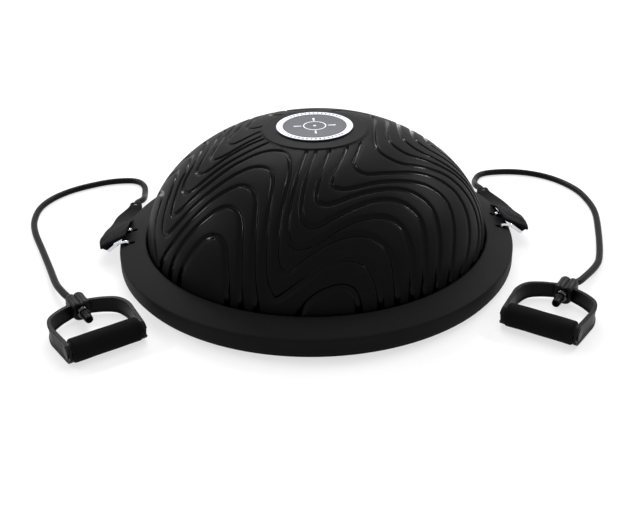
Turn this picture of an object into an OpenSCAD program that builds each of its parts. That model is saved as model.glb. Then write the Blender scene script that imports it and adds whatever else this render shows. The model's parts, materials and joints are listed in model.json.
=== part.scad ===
// Balance dome trainer: an inflatable half dome clamped between a flat platform and a cover ring,
// with a chrome wire ring at each side that carries a webbing strap, a rubber tube and a handle.
// Z is up, the dome's axis is the Z axis and the floor is Z = 0. The front of the trainer is -Y.

/* [Base] */
// Diameter of the base at its widest
base_d = 580; // [480:1:700]
// Height of the cover ring's inner lip above the floor
lip_h = 41; // [38:0.5:60]
// Height of the brim at its outer corner
brim_h = 32; // [29:0.5:36]
// Width of the cover ring, from its hole to its outer wall
rim_w = 39.5; // [36:0.5:60]
// Radius of the brim's outer corner
corner_round = 4; // [2:0.5:6]
// Radius of the inner lip's edge
lip_round = 3; // [2:0.25:3.5]
// Wall of the cover ring
wall = 3; // [2.4:0.1:4]
// Height of the seam between platform and cover ring
seam_h = 8.5; // [7:0.5:12]
// Thickness of the platform's plate
plate_t = 3.5; // [3:0.1:5]
// How far the pads stand out below the platform
pad_stand = 1.5; // [1:0.1:3]
// Screws that hold the base together
screw_count = 12; // [8:4:16]

/* [Dome] */
// Height of the crown above the cover ring's lip
dome_h = 160; // [120:1:200]
// Gap between the dome and the hole in the cover ring
dome_gap = 2; // [1.5:0.1:4]
// Wall of the bladder
dome_wall = 4; // [3:0.5:6]
// Diameter of the plain raised disc on the crown
crown_d = 150; // [100:1:180]
// Diameter of the printed badge
badge_d = 110; // [60:1:140]

/* [Wire rings] */
// Diameter of the chrome wire
wire_d = 5; // [4:0.1:6]
// Width of a ring between the centres of its legs
ring_w = 40; // [34:1:50]
// Distance from the hinge to the centre of the ring's outer bar
ring_reach = 33; // [30:1:45]
// Depth of the hinge bar's centre below the height of the brim
hinge_drop = 3; // [2.6:0.1:4]
// Gap between a leg and the brim that it crosses
leg_lift = 2.2; // [1:0.1:4]

/* [Straps and tubes] */
// Width of the webbing
strap_w = 24; // [18:1:28]
// Thickness of the webbing, folded double
strap_t = 4; // [3:0.5:5]
// Outer diameter of the rubber tubes
tube_d = 10; // [6:0.5:12]

/* [Handles] */
// Diameter of the foam grip
grip_d = 32; // [28:1:40]
// Length of the handle over its end caps
grip_len = 108; // [100:1:130]
// Width of the moulded band
band_w = 24; // [20:1:26]
// Thickness of the moulded band
band_t = 4; // [3:0.5:5]
// Distance from the grip's axis to the outer face of the boss
boss_reach = 103; // [95:1:130]

/* [Hidden] */

$fn = 96;
slip = 0.1;          // radial gap of a running fit
seat = 0.05;         // radial gap of a fixed fit
apart = 0.3;         // gap between pieces that move past each other
eps = 0.01;

// Base section, from the outside in
base_r = base_d / 2;
hole_r = base_r - rim_w;
skirt_t = wall + 0.2;                    // inner skirt that presses on the flange
screw_r = base_r - 16;                   // circle of the base screws
screw_shank_r = 1.95;
screw_head_r = 4;
screw_head_h = 2.2;
boss_r = 5;
screw_top = brim_h - 9;                  // top of the pilot holes

// Bladder section
dome_r = hole_r - dome_gap;              // radius of the dome where it leaves the ring
flange_r = hole_r + 13.5;
plate_top = pad_stand + plate_t;
rib_h = 5;                               // height of the ribs that carry the bladder
rib_t = 2.4;
floor_z = plate_top + rib_h;
flange_t = 5;
dome_power = 1.9;
crown_drop = 6;                          // the crown is this much flatter than its curve
crown_r = crown_d / 2;
crown_rise = 1.5;
badge_r = badge_d / 2;
badge_t = 0.6;

// Pads
pad_count = 8;
pad_in_r = hole_r - 16;
pad_out_r = hole_r - 2;
pad_sink = 1.5;
pad_arc = 30;
middle_pad_r = 30;

// Air inlet, in the floor of the bladder
inlet_pos = [0, -110, 0];
inlet_well_r = 20;
inlet_r = 7;
inlet_bore_r = 5;
plug_len = 14;

// Wire rings
wire_r = wire_d / 2;
hinge_x = screw_r;
hinge_h = brim_h - hinge_drop;
leg_y = ring_w / 2;
bar_x = hinge_x + ring_reach;
bar_z = hinge_h - 5.5;
bend_r = wire_d - 1.1;                   // radius of each bend along the wire's centre
slot_w = wire_d + 3;
slot_in_x = hinge_x - 7.5;
slot_out_x = hinge_x + 9;
cradle_len = ring_w - 14;
cradle_in_x = hinge_x - 10;
cradle_out_x = hinge_x + 8;
clamp_h = 6;
clamp_screw_x = 5.4;
clamp_screw_r = 1.5;

// Handles: where each grip's middle lies and how far the handle is turned
grip_r = grip_d / 2;
grip_place = [[7 - base_r, -240, grip_r], [base_r - 18, -255, grip_r]];
grip_turn = [29, -36];
half_len = grip_len / 2;
cap_head_t = 3.4;
eye_t = band_t + 0.4;
eye_r = 13;
eye_out = half_len - cap_head_t;
eye_in = eye_out - eye_t;
core_end = eye_in - apart;
core_flange_t = 2.5;
core_r = 10;
spigot_r = 8;
spigot_len = 18;
boss_len = 19;
boss_in = boss_reach - boss_len;
boss_half_w = 12;
boss_bore_r = tube_d / 2 + 0.4;
hump_r = 7.5;
hump_x = 5;
channel_depth = 1.2;
channel_lip = 3.5;

// Tubes
tube_r = tube_d / 2;
tube_sides = 10;
tube_ring_gap = 24;
tube_end_y = boss_in - 4;
plug_x = base_r - 7;
plug_y = 128;
plug_z = bar_z - wire_r - strap_t / 2 - 1;   // the strap's tail passes 1 mm below the ring
plug_body_len = 14;
plug_body_r = tube_r + 2.5;

// Routes of the tubes from the strap plugs to the handles: how far out from the plug's own line,
// how far back from the trainer's middle, and how high above where the tube lies on the floor
left_route = [
    [-7, 173, 9], [-6, 205, 1.5], [-2, 242, 0], [11, 264, 0], [33, 271, 0], [69, 266, 0],
    [115, 243, 0], [145, 213, 0], [161, 176, 0], [162, 130, 0], [152, 86, 0], [130, 27, 0],
    [109, -30, 0], [90, -84, 1.5]
];
right_route = [
    [-3, 173, 9], [3, 207, 1.5], [17, 233, 0], [40, 242, 0], [77, 241, 0], [112, 228, 0],
    [142, 202, 0], [163, 165, 0], [171, 127, 0], [170, 74, 0], [153, 4, 0], [130, -68, 0],
    [111, -110, 1]
];

// ---- helpers -------------------------------------------------------------------------------

function unit(v) = v / norm(v);

// Height of the dome's skin at radius r: a superellipse whose top is pressed flatter
function dome_z(r, a = dome_r, h = dome_h + crown_drop) =
    let (t = min(1, r / a), flat = r < a * 0.6 ? pow(1 - pow(r / (a * 0.6), 2), 2) : 0)
    lip_h + h * pow(1 - pow(t, dome_power), 1 / dome_power) - crown_drop * flat;

// Point of a Catmull-Rom curve between b and c
function curve_at(a, b, c, d, t) =
    0.5 * (2 * b + (c - a) * t + (2 * a - 5 * b + 4 * c - d) * t * t
           + (3 * b - a - 3 * c + d) * t * t * t);

// Points along the smooth curve through a route, about one every gap
function smooth(route, gap) = [
    for (i = [0 : len(route) - 2])
        let (
            b = route[i],
            c = route[i + 1],
            a = i == 0 ? 2 * b - c : route[i - 1],
            d = i == len(route) - 2 ? 2 * c - b : route[i + 2],
            n = max(1, round(norm(c - b) / gap))
        )
        for (k = [0 : n - 1]) curve_at(a, b, c, d, k / n),
    route[len(route) - 1]
];

// Points of a polyline whose corners are rounded to radius r by steps short chords
function rounded(points, r, steps) = [
    points[0],
    for (i = [1 : len(points) - 2])
        let (
            u = unit(points[i] - points[i - 1]),
            v = unit(points[i + 1] - points[i]),
            turn = acos(max(-1, min(1, u * v))),
            back = r * tan(turn / 2),
            side = unit(v - u * cos(turn)),
            centre = points[i] - u * back + side * r
        )
        for (k = [0 : steps])
            let (a = turn * k / steps) centre - side * r * cos(a) + u * r * sin(a),
    points[len(points) - 1]
];

// Direction of a path at point i
function heading(path, i) =
    unit(path[min(i + 1, len(path) - 1)] - path[max(i - 1, 0)]);

// A round bar swept along a path; up is any direction the path never runs along
module sweep(path, r, sides, up = [0, 0, 1]) {
    n = len(path);
    rings = [
        for (i = [0 : n - 1])
            let (dir = heading(path, i), side = unit(cross(dir, up)), top = cross(side, dir))
            for (k = [0 : sides - 1])
                let (a = 360 * k / sides) path[i] + r * (cos(a) * side + sin(a) * top)
    ];
    walls = [
        for (i = [0 : n - 2], k = [0 : sides - 1])
            let (j = (k + 1) % sides)
            [i * sides + k, i * sides + j, (i + 1) * sides + j, (i + 1) * sides + k]
    ];
    first_end = [for (k = [sides - 1 : -1 : 0]) k];
    last_end = [for (k = [0 : sides - 1]) (n - 1) * sides + k];
    polyhedron(rings, concat([first_end], walls, [last_end]));
}

// Left is side 0 and right is side 1
module on_side(side) {
    if (side == 1) children();
    else mirror([1, 0, 0]) children();
}

module at_handle(side) {
    translate(grip_place[side]) rotate([0, 0, grip_turn[side]]) children();
}

// Where a point on a handle's centre line, y from the grip's axis, lies in the whole part
function handle_point(side, y) =
    grip_place[side] + y * [-sin(grip_turn[side]), cos(grip_turn[side]), 0];

module around_base(count, radius, first = 0) {
    for (i = [0 : count - 1])
        rotate([0, 0, first + 360 * i / count]) translate([radius, 0, 0]) children();
}

// ---- base ----------------------------------------------------------------------------------

screw_first = 180 / screw_count;

module platform_section() {
    edge_r = base_r - 2;
    polygon([
        [0, pad_stand], [edge_r - 9, pad_stand], [edge_r - 5.2, pad_stand + 0.5],
        [edge_r - 2.4, pad_stand + 2], [edge_r - 0.6, seam_h - 2.6], [edge_r, seam_h],
        [base_r - wall - 0.5, seam_h], [base_r - wall - 0.5, seam_h + 4],
        [base_r - wall - 3.5, seam_h + 4], [base_r - wall - 3.5, plate_top],
        [flange_r - 1, plate_top], [flange_r - 1, floor_z], [hole_r + 0.5, floor_z],
        [hole_r + 0.5, plate_top], [0, plate_top]
    ]);
}

// Twelve spokes and four rings on top of the plate, which carry the bladder's floor
module platform_ribs() {
    ring_in = middle_pad_r + 6;
    for (i = [0 : 11]) rotate([0, 0, 15 + 30 * i])
        translate([ring_in, -rib_t / 2, plate_top - eps])
            cube([hole_r - ring_in + 1, rib_t, rib_h + eps]);
    for (r = [ring_in, 0.32 * hole_r, 0.6 * hole_r, 0.82 * hole_r])
        translate([0, 0, plate_top - eps]) difference() {
            cylinder(r = r + rib_t, h = rib_h + eps);
            translate([0, 0, -1]) cylinder(r = r, h = rib_h + 3);
        }
}

module platform() {
    color([0.10, 0.10, 0.11]) difference() {
        union() {
            rotate_extrude($fn = 180) platform_section();
            around_base(screw_count, screw_r, screw_first)
                translate([0, 0, pad_stand + 1]) cylinder(r = boss_r + 1, h = seam_h - pad_stand - 1);
            platform_ribs();
        }
        around_base(screw_count, screw_r, screw_first) {
            translate([0, 0, -1]) cylinder(r = screw_head_r + 0.4, h = pad_stand + screw_head_h + 1.8);
            cylinder(r = screw_shank_r + seat, h = seam_h + 2);
        }
        translate(inlet_pos) cylinder(r = inlet_well_r, h = floor_z + 2);
        translate([0, 0, pad_stand - 1]) for (i = [0 : pad_count - 1])
            pad_arc_shape(i, pad_in_r - seat, pad_out_r + seat, pad_sink + 1, 0.02);
        cylinder(r = middle_pad_r + seat, h = pad_stand + pad_sink);
    }
}

module pad_arc_shape(i, r_in, r_out, h, spare = 0) {
    rotate([0, 0, 360 / pad_count * i - pad_arc / 2 - spare])
        rotate_extrude(angle = pad_arc + 2 * spare, $fn = 180)
            translate([r_in, 0]) square([r_out - r_in, h]);
}

module anti_slip_pads() {
    color([0.16, 0.16, 0.17]) {
        for (i = [0 : pad_count - 1]) pad_arc_shape(i, pad_in_r, pad_out_r, pad_stand + pad_sink);
        cylinder(r = middle_pad_r, h = pad_stand + pad_sink);
    }
}

// Points of an arc about a centre, between two angles
function arc(centre, r, from, to, steps) = [
    for (i = [0 : steps])
        let (a = from + (to - from) * i / steps) centre + r * [cos(a), sin(a)]
];

// The brim is the straight line that touches both the outer corner's arc and the lip's arc
corner_centre = [base_r - corner_round, brim_h - corner_round];
lip_centre = [hole_r + lip_round, lip_h - lip_round];
brim_run = lip_centre - corner_centre;
brim_turn = atan2(brim_run[1], brim_run[0]) - acos((corner_round - lip_round) / norm(brim_run));

// Height of the brim's sloping top at radius r
function brim_top(r) =
    let (touch = corner_centre + corner_round * [cos(brim_turn), sin(brim_turn)])
    touch[1] + (touch[0] - r) / tan(brim_turn);

// Cover ring section: outer wall, rounded corner, sloping brim, rounded lip and inner skirt
module cover_section() {
    foot = seam_h;
    skirt_z = floor_z + flange_t;
    difference() {
        polygon(concat(
            [[base_r - 1.4, foot], [base_r - 0.3, foot + 0.8], [base_r, foot + 2.4]],
            arc(corner_centre, corner_round, 0, brim_turn, 5),
            arc(lip_centre, lip_round, brim_turn, 180, 7),
            [[hole_r, skirt_z], [flange_r, skirt_z], [flange_r, foot]]
        ));
        polygon([
            [base_r - wall, foot - 1], [base_r - wall, brim_h - wall - 4],
            [base_r - wall - 3.2, brim_top(base_r - wall - 3.2) - wall - 0.6],
            [hole_r + 7.5, brim_top(hole_r + 7.5) - wall - 0.2],
            [hole_r + skirt_t + 0.6, brim_top(hole_r + 7.5) - wall],
            [hole_r + skirt_t, lip_h - wall - 3], [hole_r + skirt_t, skirt_z + 3],
            [flange_r + 1, skirt_z + 1], [flange_r + 1, foot - 1]
        ]);
    }
}

// Block under the brim that holds the upper half of a hinge bar
module saddle() {
    rotate([90, 0, 0]) linear_extrude(cradle_len, center = true) polygon([
        [cradle_in_x, hinge_h], [cradle_out_x, hinge_h],
        [cradle_out_x, brim_top(cradle_out_x) - 1.2], [cradle_in_x, brim_top(cradle_in_x) - 1.2]
    ]);
}

// Everything the D ring needs cut from the cover ring on the right-hand side
module ring_cuts() {
    for (s = [-1, 1]) {
        for (x = [slot_in_x + slot_w / 2, slot_out_x - slot_w / 2])
            translate([x, s * leg_y, hinge_h - 8]) cylinder(r = slot_w / 2, h = 30);
        translate([slot_in_x + slot_w / 2, s * leg_y - slot_w / 2, hinge_h - 8])
            cube([slot_out_x - slot_in_x - slot_w, slot_w, 30]);
    }
    translate([hinge_x, 0, hinge_h]) rotate([90, 0, 0])
        cylinder(r = wire_r + slip, h = ring_w + 2, center = true);
    for (s = [-1, 1]) translate([hinge_x + s * clamp_screw_x, 0, hinge_h - 1])
        cylinder(r = clamp_screw_r + seat, h = 4.4);
}

module cover_ring() {
    pillar_top = brim_top(screw_r + boss_r) - 0.3;
    color([0.11, 0.11, 0.12]) difference() {
        union() {
            rotate_extrude($fn = 180) cover_section();
            around_base(screw_count, screw_r, screw_first)
                translate([0, 0, seam_h]) cylinder(r = boss_r, h = pillar_top - seam_h);
            for (side = [0, 1]) on_side(side) saddle();
        }
        around_base(screw_count, screw_r, screw_first)
            cylinder(r = screw_shank_r + seat, h = screw_top);
        for (side = [0, 1]) on_side(side) ring_cuts();
    }
}

module platform_screws() {
    color([0.55, 0.56, 0.58]) around_base(screw_count, screw_r, screw_first) difference() {
        translate([0, 0, pad_stand + 0.6]) union() {
            cylinder(r = screw_head_r, h = screw_head_h);
            cylinder(r = screw_shank_r, h = screw_top - pad_stand - 2);
        }
        for (a = [0, 90]) rotate([0, 0, a])
            translate([-2.4, -0.5, pad_stand - 0.4]) cube([4.8, 1, 2]);
    }
}

// ---- bladder -------------------------------------------------------------------------------

module bladder_skin(inset) {
    a = dome_r - inset;
    h = dome_h + crown_drop - inset;
    steps = 22;
    // The curve is walked by angle, so its points sit closer together near the steep foot
    curve = [for (i = [1 : steps - 1]) let (r = a * cos(90 * i / steps)) [r, dome_z(r, a, h)]];
    polygon(concat(
        [[0, floor_z + (inset > 0 ? 3 : 0)], [a, floor_z + (inset > 0 ? 3 : 0)], [a, lip_h]],
        curve, [[0, dome_z(0, a, h)]]
    ));
}

module dome_bladder() {
    color([0.09, 0.09, 0.10]) difference() {
        union() {
            rotate_extrude($fn = 180) union() {
                bladder_skin(0);
                translate([0, floor_z]) square([flange_r - apart, flange_t]);
            }
            rotate_extrude() polygon([
                [0, dome_z(crown_r) - 3], [crown_r, dome_z(crown_r) - 3],
                [crown_r, dome_z(crown_r) + crown_rise - 0.5],
                [crown_r - 0.7, dome_z(crown_r) + crown_rise],
                [crown_r * 0.72, crown_z(crown_r * 0.72)], [0, crown_z(0)]
            ]);
        }
        rotate_extrude($fn = 180) bladder_skin(dome_wall);
        translate([0, 0, crown_z(0) - badge_t - 1.4]) cylinder(r = badge_r + seat, h = 9);
        translate(inlet_pos) cylinder(r = inlet_r + seat, h = floor_z + 4);
    }
}

// Height of the gently crowned disc on top
function crown_z(r) = dome_z(crown_r) + crown_rise + 4.5 * (1 - pow(r / crown_r, 2));

module top_badge() {
    base_z = crown_z(0) - badge_t - 1.4;
    color([0.45, 0.47, 0.56]) translate([0, 0, base_z]) difference() {
        cylinder(r = badge_r, h = badge_t + 1.4);
        translate([0, 0, badge_t + 1]) difference() {
            cylinder(r = badge_r * 0.83, h = 2);
            translate([0, 0, -1]) cylinder(r = badge_r * 0.81, h = 4);
        }
    }
}

module inlet_valve() {
    color([0.20, 0.20, 0.22]) translate([inlet_pos[0], inlet_pos[1], 0]) difference() {
        union() {
            translate([0, 0, floor_z - 2]) cylinder(r = inlet_r + 5, h = 2);
            translate([0, 0, floor_z - eps]) cylinder(r = inlet_r, h = 3 + 2 * eps);
            translate([0, 0, floor_z + 3]) cylinder(r1 = inlet_r + 4, r2 = inlet_r, h = 6);
            translate([0, 0, floor_z + 3]) cylinder(r = inlet_r - 1, h = plug_len);
        }
        translate([0, 0, floor_z - 3]) cylinder(r = inlet_bore_r, h = plug_len + 8);
    }
}

module inlet_plug() {
    head_t = 2;
    color([0.24, 0.24, 0.26]) translate([inlet_pos[0], inlet_pos[1], 0]) {
        translate([0, 0, floor_z - 2 - head_t]) cylinder(r = inlet_bore_r + 3, h = head_t);
        translate([0, 0, floor_z - 2 - eps]) cylinder(r = inlet_bore_r - slip, h = plug_len - 1);
        for (s = [-1, 1]) translate([s * 2 - 0.5, -inlet_bore_r, floor_z - 3.5 - head_t])
            cube([1, 2 * inlet_bore_r, 1.6]);
    }
}

// ---- wire rings ----------------------------------------------------------------------------

module ring_retainer(side) {
    color([0.13, 0.13, 0.14]) on_side(side) difference() {
        translate([cradle_in_x, -cradle_len / 2, hinge_h - clamp_h])
            cube([cradle_out_x - cradle_in_x, cradle_len, clamp_h]);
        translate([hinge_x, 0, hinge_h]) rotate([90, 0, 0])
            cylinder(r = wire_r + slip, h = cradle_len + 2, center = true);
        for (s = [-1, 1]) translate([hinge_x + s * clamp_screw_x, 0, hinge_h - clamp_h - 1])
            cylinder(r = clamp_screw_r + seat, h = clamp_h + 2);
    }
}

module retainer_screws() {
    color([0.55, 0.56, 0.58]) for (side = [0, 1]) on_side(side) for (s = [-1, 1])
        translate([hinge_x + s * clamp_screw_x, 0, 0]) {
            translate([0, 0, hinge_h - clamp_h]) cylinder(r = clamp_screw_r, h = clamp_h + 3);
            translate([0, 0, hinge_h - clamp_h - 1.8]) cylinder(r = clamp_screw_r + 1.4, h = 1.8);
        }
}

// One bent wire: the hinge bar under the brim, two cranked legs and the outer bar
module d_ring(side) {
    start_y = leg_y - 6;
    leg_z = brim_top(slot_out_x) + wire_r + leg_lift;
    half = [
        [hinge_x, start_y, hinge_h], [hinge_x, leg_y, hinge_h], [hinge_x + 3, leg_y, leg_z],
        [hinge_x + 17, leg_y, leg_z - 1.4], [bar_x, leg_y, bar_z]
    ];
    bend = rounded(concat(half, [[bar_x, 0, bar_z]]), bend_r, 5);
    n = len(bend) - 1;
    path = concat(bend, [for (i = [n - 1 : -1 : 0]) [bend[i][0], -bend[i][1], bend[i][2]]]);
    color([0.80, 0.81, 0.83]) on_side(side) union() {
        wire(path);
        translate([hinge_x, 0, hinge_h]) rotate([90, 0, 0])
            cylinder(r = wire_r, h = 2 * start_y + 2, center = true);
    }
}

// A wire that bends in all directions: each ring of points is turned with its own frame
module wire(path) {
    sides = 12;
    n = len(path);
    r = wire_r - 0.02;
    // The frame is carried from point to point, so the wire doesn't twist at a bend
    function frames(i, side) =
        i >= n ? [] :
        let (dir = heading(path, i), s = unit(side - dir * (side * dir)))
        concat([[s, cross(dir, s)]], frames(i + 1, s));
    frame = frames(0, [1, 0, 0]);
    rings = [
        for (i = [0 : n - 1], k = [0 : sides - 1])
            let (a = 360 * k / sides) path[i] + r * (cos(a) * frame[i][0] + sin(a) * frame[i][1])
    ];
    walls = [
        for (i = [0 : n - 2], k = [0 : sides - 1])
            let (j = (k + 1) % sides)
            [i * sides + k, (i + 1) * sides + k, (i + 1) * sides + j, i * sides + j]
    ];
    first_end = [for (k = [0 : sides - 1]) k];
    last_end = [for (k = [sides - 1 : -1 : 0]) (n - 1) * sides + k];
    polyhedron(rings, concat([first_end], walls, [last_end]));
}

// ---- straps and tubes ----------------------------------------------------------------------

tail_gap = apart + 0.2;

module strap_loop(side) {
    grip_gap = wire_r + 0.2;
    loop_r = grip_gap + strap_t / 2;
    color([0.05, 0.05, 0.06]) on_side(side) difference() {
        union() {
            translate([bar_x, 0, bar_z]) rotate([90, 0, 0])
                cylinder(r = loop_r, h = strap_w, center = true);
            translate([base_r + 1.5, -strap_w / 2, bar_z - strap_t / 2])
                cube([bar_x - base_r - 1.5, strap_w, strap_t]);
        }
        translate([bar_x, 0, bar_z]) rotate([90, 0, 0])
            cylinder(r = grip_gap, h = strap_w + 2, center = true);
    }
}

module strap_tail(side) {
    start_y = strap_w / 2 + tail_gap;
    color([0.05, 0.05, 0.06]) on_side(side)
        translate([0, 0, plug_z - strap_t / 2]) linear_extrude(strap_t) polygon([
            [base_r + 1.5, start_y], [bar_x + 3, start_y], [bar_x + 1, 60], [bar_x - 4, 100],
            [plug_x + strap_w / 2, plug_y], [plug_x - strap_w / 2, plug_y],
            [plug_x - strap_w / 2 + 7, 96], [base_r - 2, 56]
        ]);
}

module strap_plug(side) {
    color([0.30, 0.30, 0.32]) on_side(side)
        translate([plug_x, plug_y, plug_z]) rotate([-90, 0, 0]) rotate_extrude($fn = 48) polygon([
            [0, 0], [plug_body_r - 1, 0], [plug_body_r, 1], [plug_body_r, 8], [plug_body_r - 1.2, 9],
            [plug_body_r - 1.2, plug_body_len], [0, plug_body_len]
        ]);
}

// The whole route: level out of the plug, along the floor and straight into the handle's boss
module tube(side) {
    way = side == 0 ? -1 : 1;
    plug_end = plug_y + plug_body_len;
    route = concat(
        [for (d = [0, 10]) [way * plug_x, plug_end + d, plug_z]],
        [for (p = side == 0 ? left_route : right_route) [way * (plug_x + p[0]), p[1], tube_r + p[2]]],
        [for (d = [28, 14, 0]) handle_point(side, boss_reach + d - 1)],
        [handle_point(side, tube_end_y)]
    );
    color([0.07, 0.07, 0.08]) sweep(smooth(route, tube_ring_gap), tube_r, tube_sides);
}

module tube_collar(side) {
    collar_r = tube_r + 2.5;
    color([0.50, 0.51, 0.53]) at_handle(side)
        translate([0, tube_end_y, 0]) rotate([-90, 0, 0]) difference() {
            cylinder(r = collar_r, h = boss_in - tube_end_y - apart, $fn = 48);
            translate([0, 0, -1]) cylinder(r = tube_r + seat, h = 10);
        }
}

// The end of the tube, stretched over a ball, with its open end towards the grip
module tube_stopper(side) {
    bulge = tube_r + 1.8;
    color([0.08, 0.08, 0.09]) at_handle(side)
        translate([0, tube_end_y, 0]) rotate([90, 0, 0]) rotate_extrude($fn = 48) polygon([
            [0, 0], [tube_r + 1.2, 0], [tube_r + 1.2, 2], [tube_r + 0.2, 3], [tube_r + 0.6, 5],
            [bulge, 8], [bulge, 13], [tube_r + 1, 17], [tube_r + 0.6, 19],
            [tube_r - 1.4, 19], [tube_r - 1.4, 14], [0, 14]
        ]);
}

// ---- handles -------------------------------------------------------------------------------

// Centre line of the band's right half, from the eye to the boss
band_line = smooth([
    [eye_in + eye_t / 2, -3], [eye_in + eye_t / 2, 5], [eye_in + eye_t / 2, 12],
    [half_len - 3, 20], [half_len - 0.5, 34], [half_len - 4, 54],
    [half_len - 16, boss_reach - 32], [half_len - 34, boss_reach - 20], [0, boss_reach - 13]
], 7);

// Points of the band's line moved sideways by d
function moved(line, d) = [
    for (i = [0 : len(line) - 1])
        let (dir = heading(line, i)) line[i] + d * [dir[1], -dir[0]]
];

function reversed(list) = [for (i = [len(list) - 1 : -1 : 0]) list[i]];

module band_shape(out, inn) {
    polygon(concat(moved(band_line, out), reversed(moved(band_line, inn))));
}

module stirrup(side) {
    low = grip_r - band_w / 2;
    color([0.08, 0.08, 0.09]) at_handle(side) translate([0, 0, -grip_r]) difference() {
        union() {
            for (s = [0, 1]) mirror([s, 0, 0]) {
                translate([0, 0, low]) linear_extrude(band_w) band_shape(band_t / 2, -band_t / 2);
                translate([eye_in, 0, grip_r]) rotate([0, 90, 0]) cylinder(r = eye_r, h = eye_t);
            }
            translate([0, 0, low]) linear_extrude(band_w) polygon([
                [-boss_half_w, boss_in], [boss_half_w, boss_in], [boss_half_w + 3, boss_in + 5],
                [boss_half_w, boss_reach - 2], [boss_half_w - 2, boss_reach],
                [2 - boss_half_w, boss_reach], [-boss_half_w, boss_reach - 2],
                [-boss_half_w - 3, boss_in + 5]
            ]);
            for (x = [-hump_x, hump_x], z = [-1, 1])
                translate([x, boss_reach, grip_r + z * (band_w / 2 - hump_r + 1.8)])
                    rotate([90, 0, 0]) cylinder(r = hump_r, h = boss_len, $fn = 48);
        }
        // Channels along the outside and the inside of the band leave a rim at each edge
        for (s = [0, 1]) mirror([s, 0, 0]) translate([0, 0, low + channel_lip])
            linear_extrude(band_w - 2 * channel_lip) intersection() {
                union() {
                    band_shape(band_t / 2 + 3, band_t / 2 - channel_depth);
                    band_shape(channel_depth - band_t / 2, -band_t / 2 - 3);
                }
                translate([boss_half_w + 5, 16]) square([half_len + 10, boss_reach]);
            }
        translate([0, boss_in - 1, grip_r]) rotate([-90, 0, 0])
            cylinder(r = boss_bore_r, h = boss_len + 4);
        for (s = [0, 1]) mirror([s, 0, 0]) translate([eye_in - 4, 0, grip_r]) rotate([0, 90, 0])
            cylinder(r = spigot_r + seat, h = eye_t + 8);
    }
}

module grip_caps(side) {
    spigot_end = eye_out - spigot_len;
    color([0.07, 0.07, 0.08]) at_handle(side) for (s = [0, 1]) mirror([s, 0, 0])
        rotate([0, 90, 0]) rotate_extrude($fn = 48) polygon([
            [0, spigot_end], [spigot_r - 1, spigot_end], [spigot_r, spigot_end + 1],
            [spigot_r, eye_out], [eye_r - 1, eye_out], [eye_r - 1, eye_out + 1.4],
            [eye_r - 2.2, eye_out + 1.8], [eye_r - 3.4, half_len - 0.5], [eye_r - 4, half_len],
            [0, half_len]
        ]);
}

module grip_core(side) {
    color([0.14, 0.14, 0.15]) at_handle(side) rotate([0, 90, 0]) difference() {
        union() {
            cylinder(r = core_r, h = 2 * core_end, center = true);
            for (s = [0, 1]) mirror([0, 0, s]) translate([0, 0, core_end - core_flange_t])
                cylinder(r = eye_r, h = core_flange_t);
        }
        cylinder(r = spigot_r + slip, h = 2 * core_end + 2, center = true);
    }
}

module foam_grip(side) {
    half = core_end - core_flange_t;
    color([0.06, 0.06, 0.07]) at_handle(side) rotate([0, 90, 0]) rotate_extrude() polygon([
        [core_r, -half], [grip_r - 2.5, -half], [grip_r - 0.8, 0.8 - half], [grip_r, 2.8 - half],
        [grip_r, half - 2.8], [grip_r - 0.8, half - 0.8], [grip_r - 2.5, half], [core_r, half]
    ]);
}

// ---- the whole part ------------------------------------------------------------------------

platform();
cover_ring();
dome_bladder();
top_badge();
anti_slip_pads();
platform_screws();
inlet_valve();
inlet_plug();
retainer_screws();
ring_retainer(0);  // ring_retainer_left
ring_retainer(1);  // ring_retainer_right
d_ring(0);  // d_ring_left
d_ring(1);  // d_ring_right
strap_loop(0);  // strap_loop_left
strap_loop(1);  // strap_loop_right
strap_tail(0);  // strap_tail_left
strap_tail(1);  // strap_tail_right
strap_plug(0);  // strap_plug_left
strap_plug(1);  // strap_plug_right
tube(0);  // tube_left
tube(1);  // tube_right
tube_collar(0);  // tube_collar_left
tube_collar(1);  // tube_collar_right
tube_stopper(0);  // tube_stopper_left
tube_stopper(1);  // tube_stopper_right
stirrup(0);  // stirrup_left
stirrup(1);  // stirrup_right
grip_caps(0);  // grip_caps_left
grip_caps(1);  // grip_caps_right
grip_core(0);  // grip_core_left
grip_core(1);  // grip_core_right
foam_grip(0);  // foam_grip_left
foam_grip(1);  // foam_grip_right
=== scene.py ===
"""Balance dome trainer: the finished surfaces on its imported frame. Metres, Z up, the dome's axis is Z and
the front is -Y."""

import json
from math import cos, pi, radians, sin

import bmesh
import bpy
import numpy as np
from mathutils import Matrix, Vector
from mathutils.geometry import delaunay_2d_cdt

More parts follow.
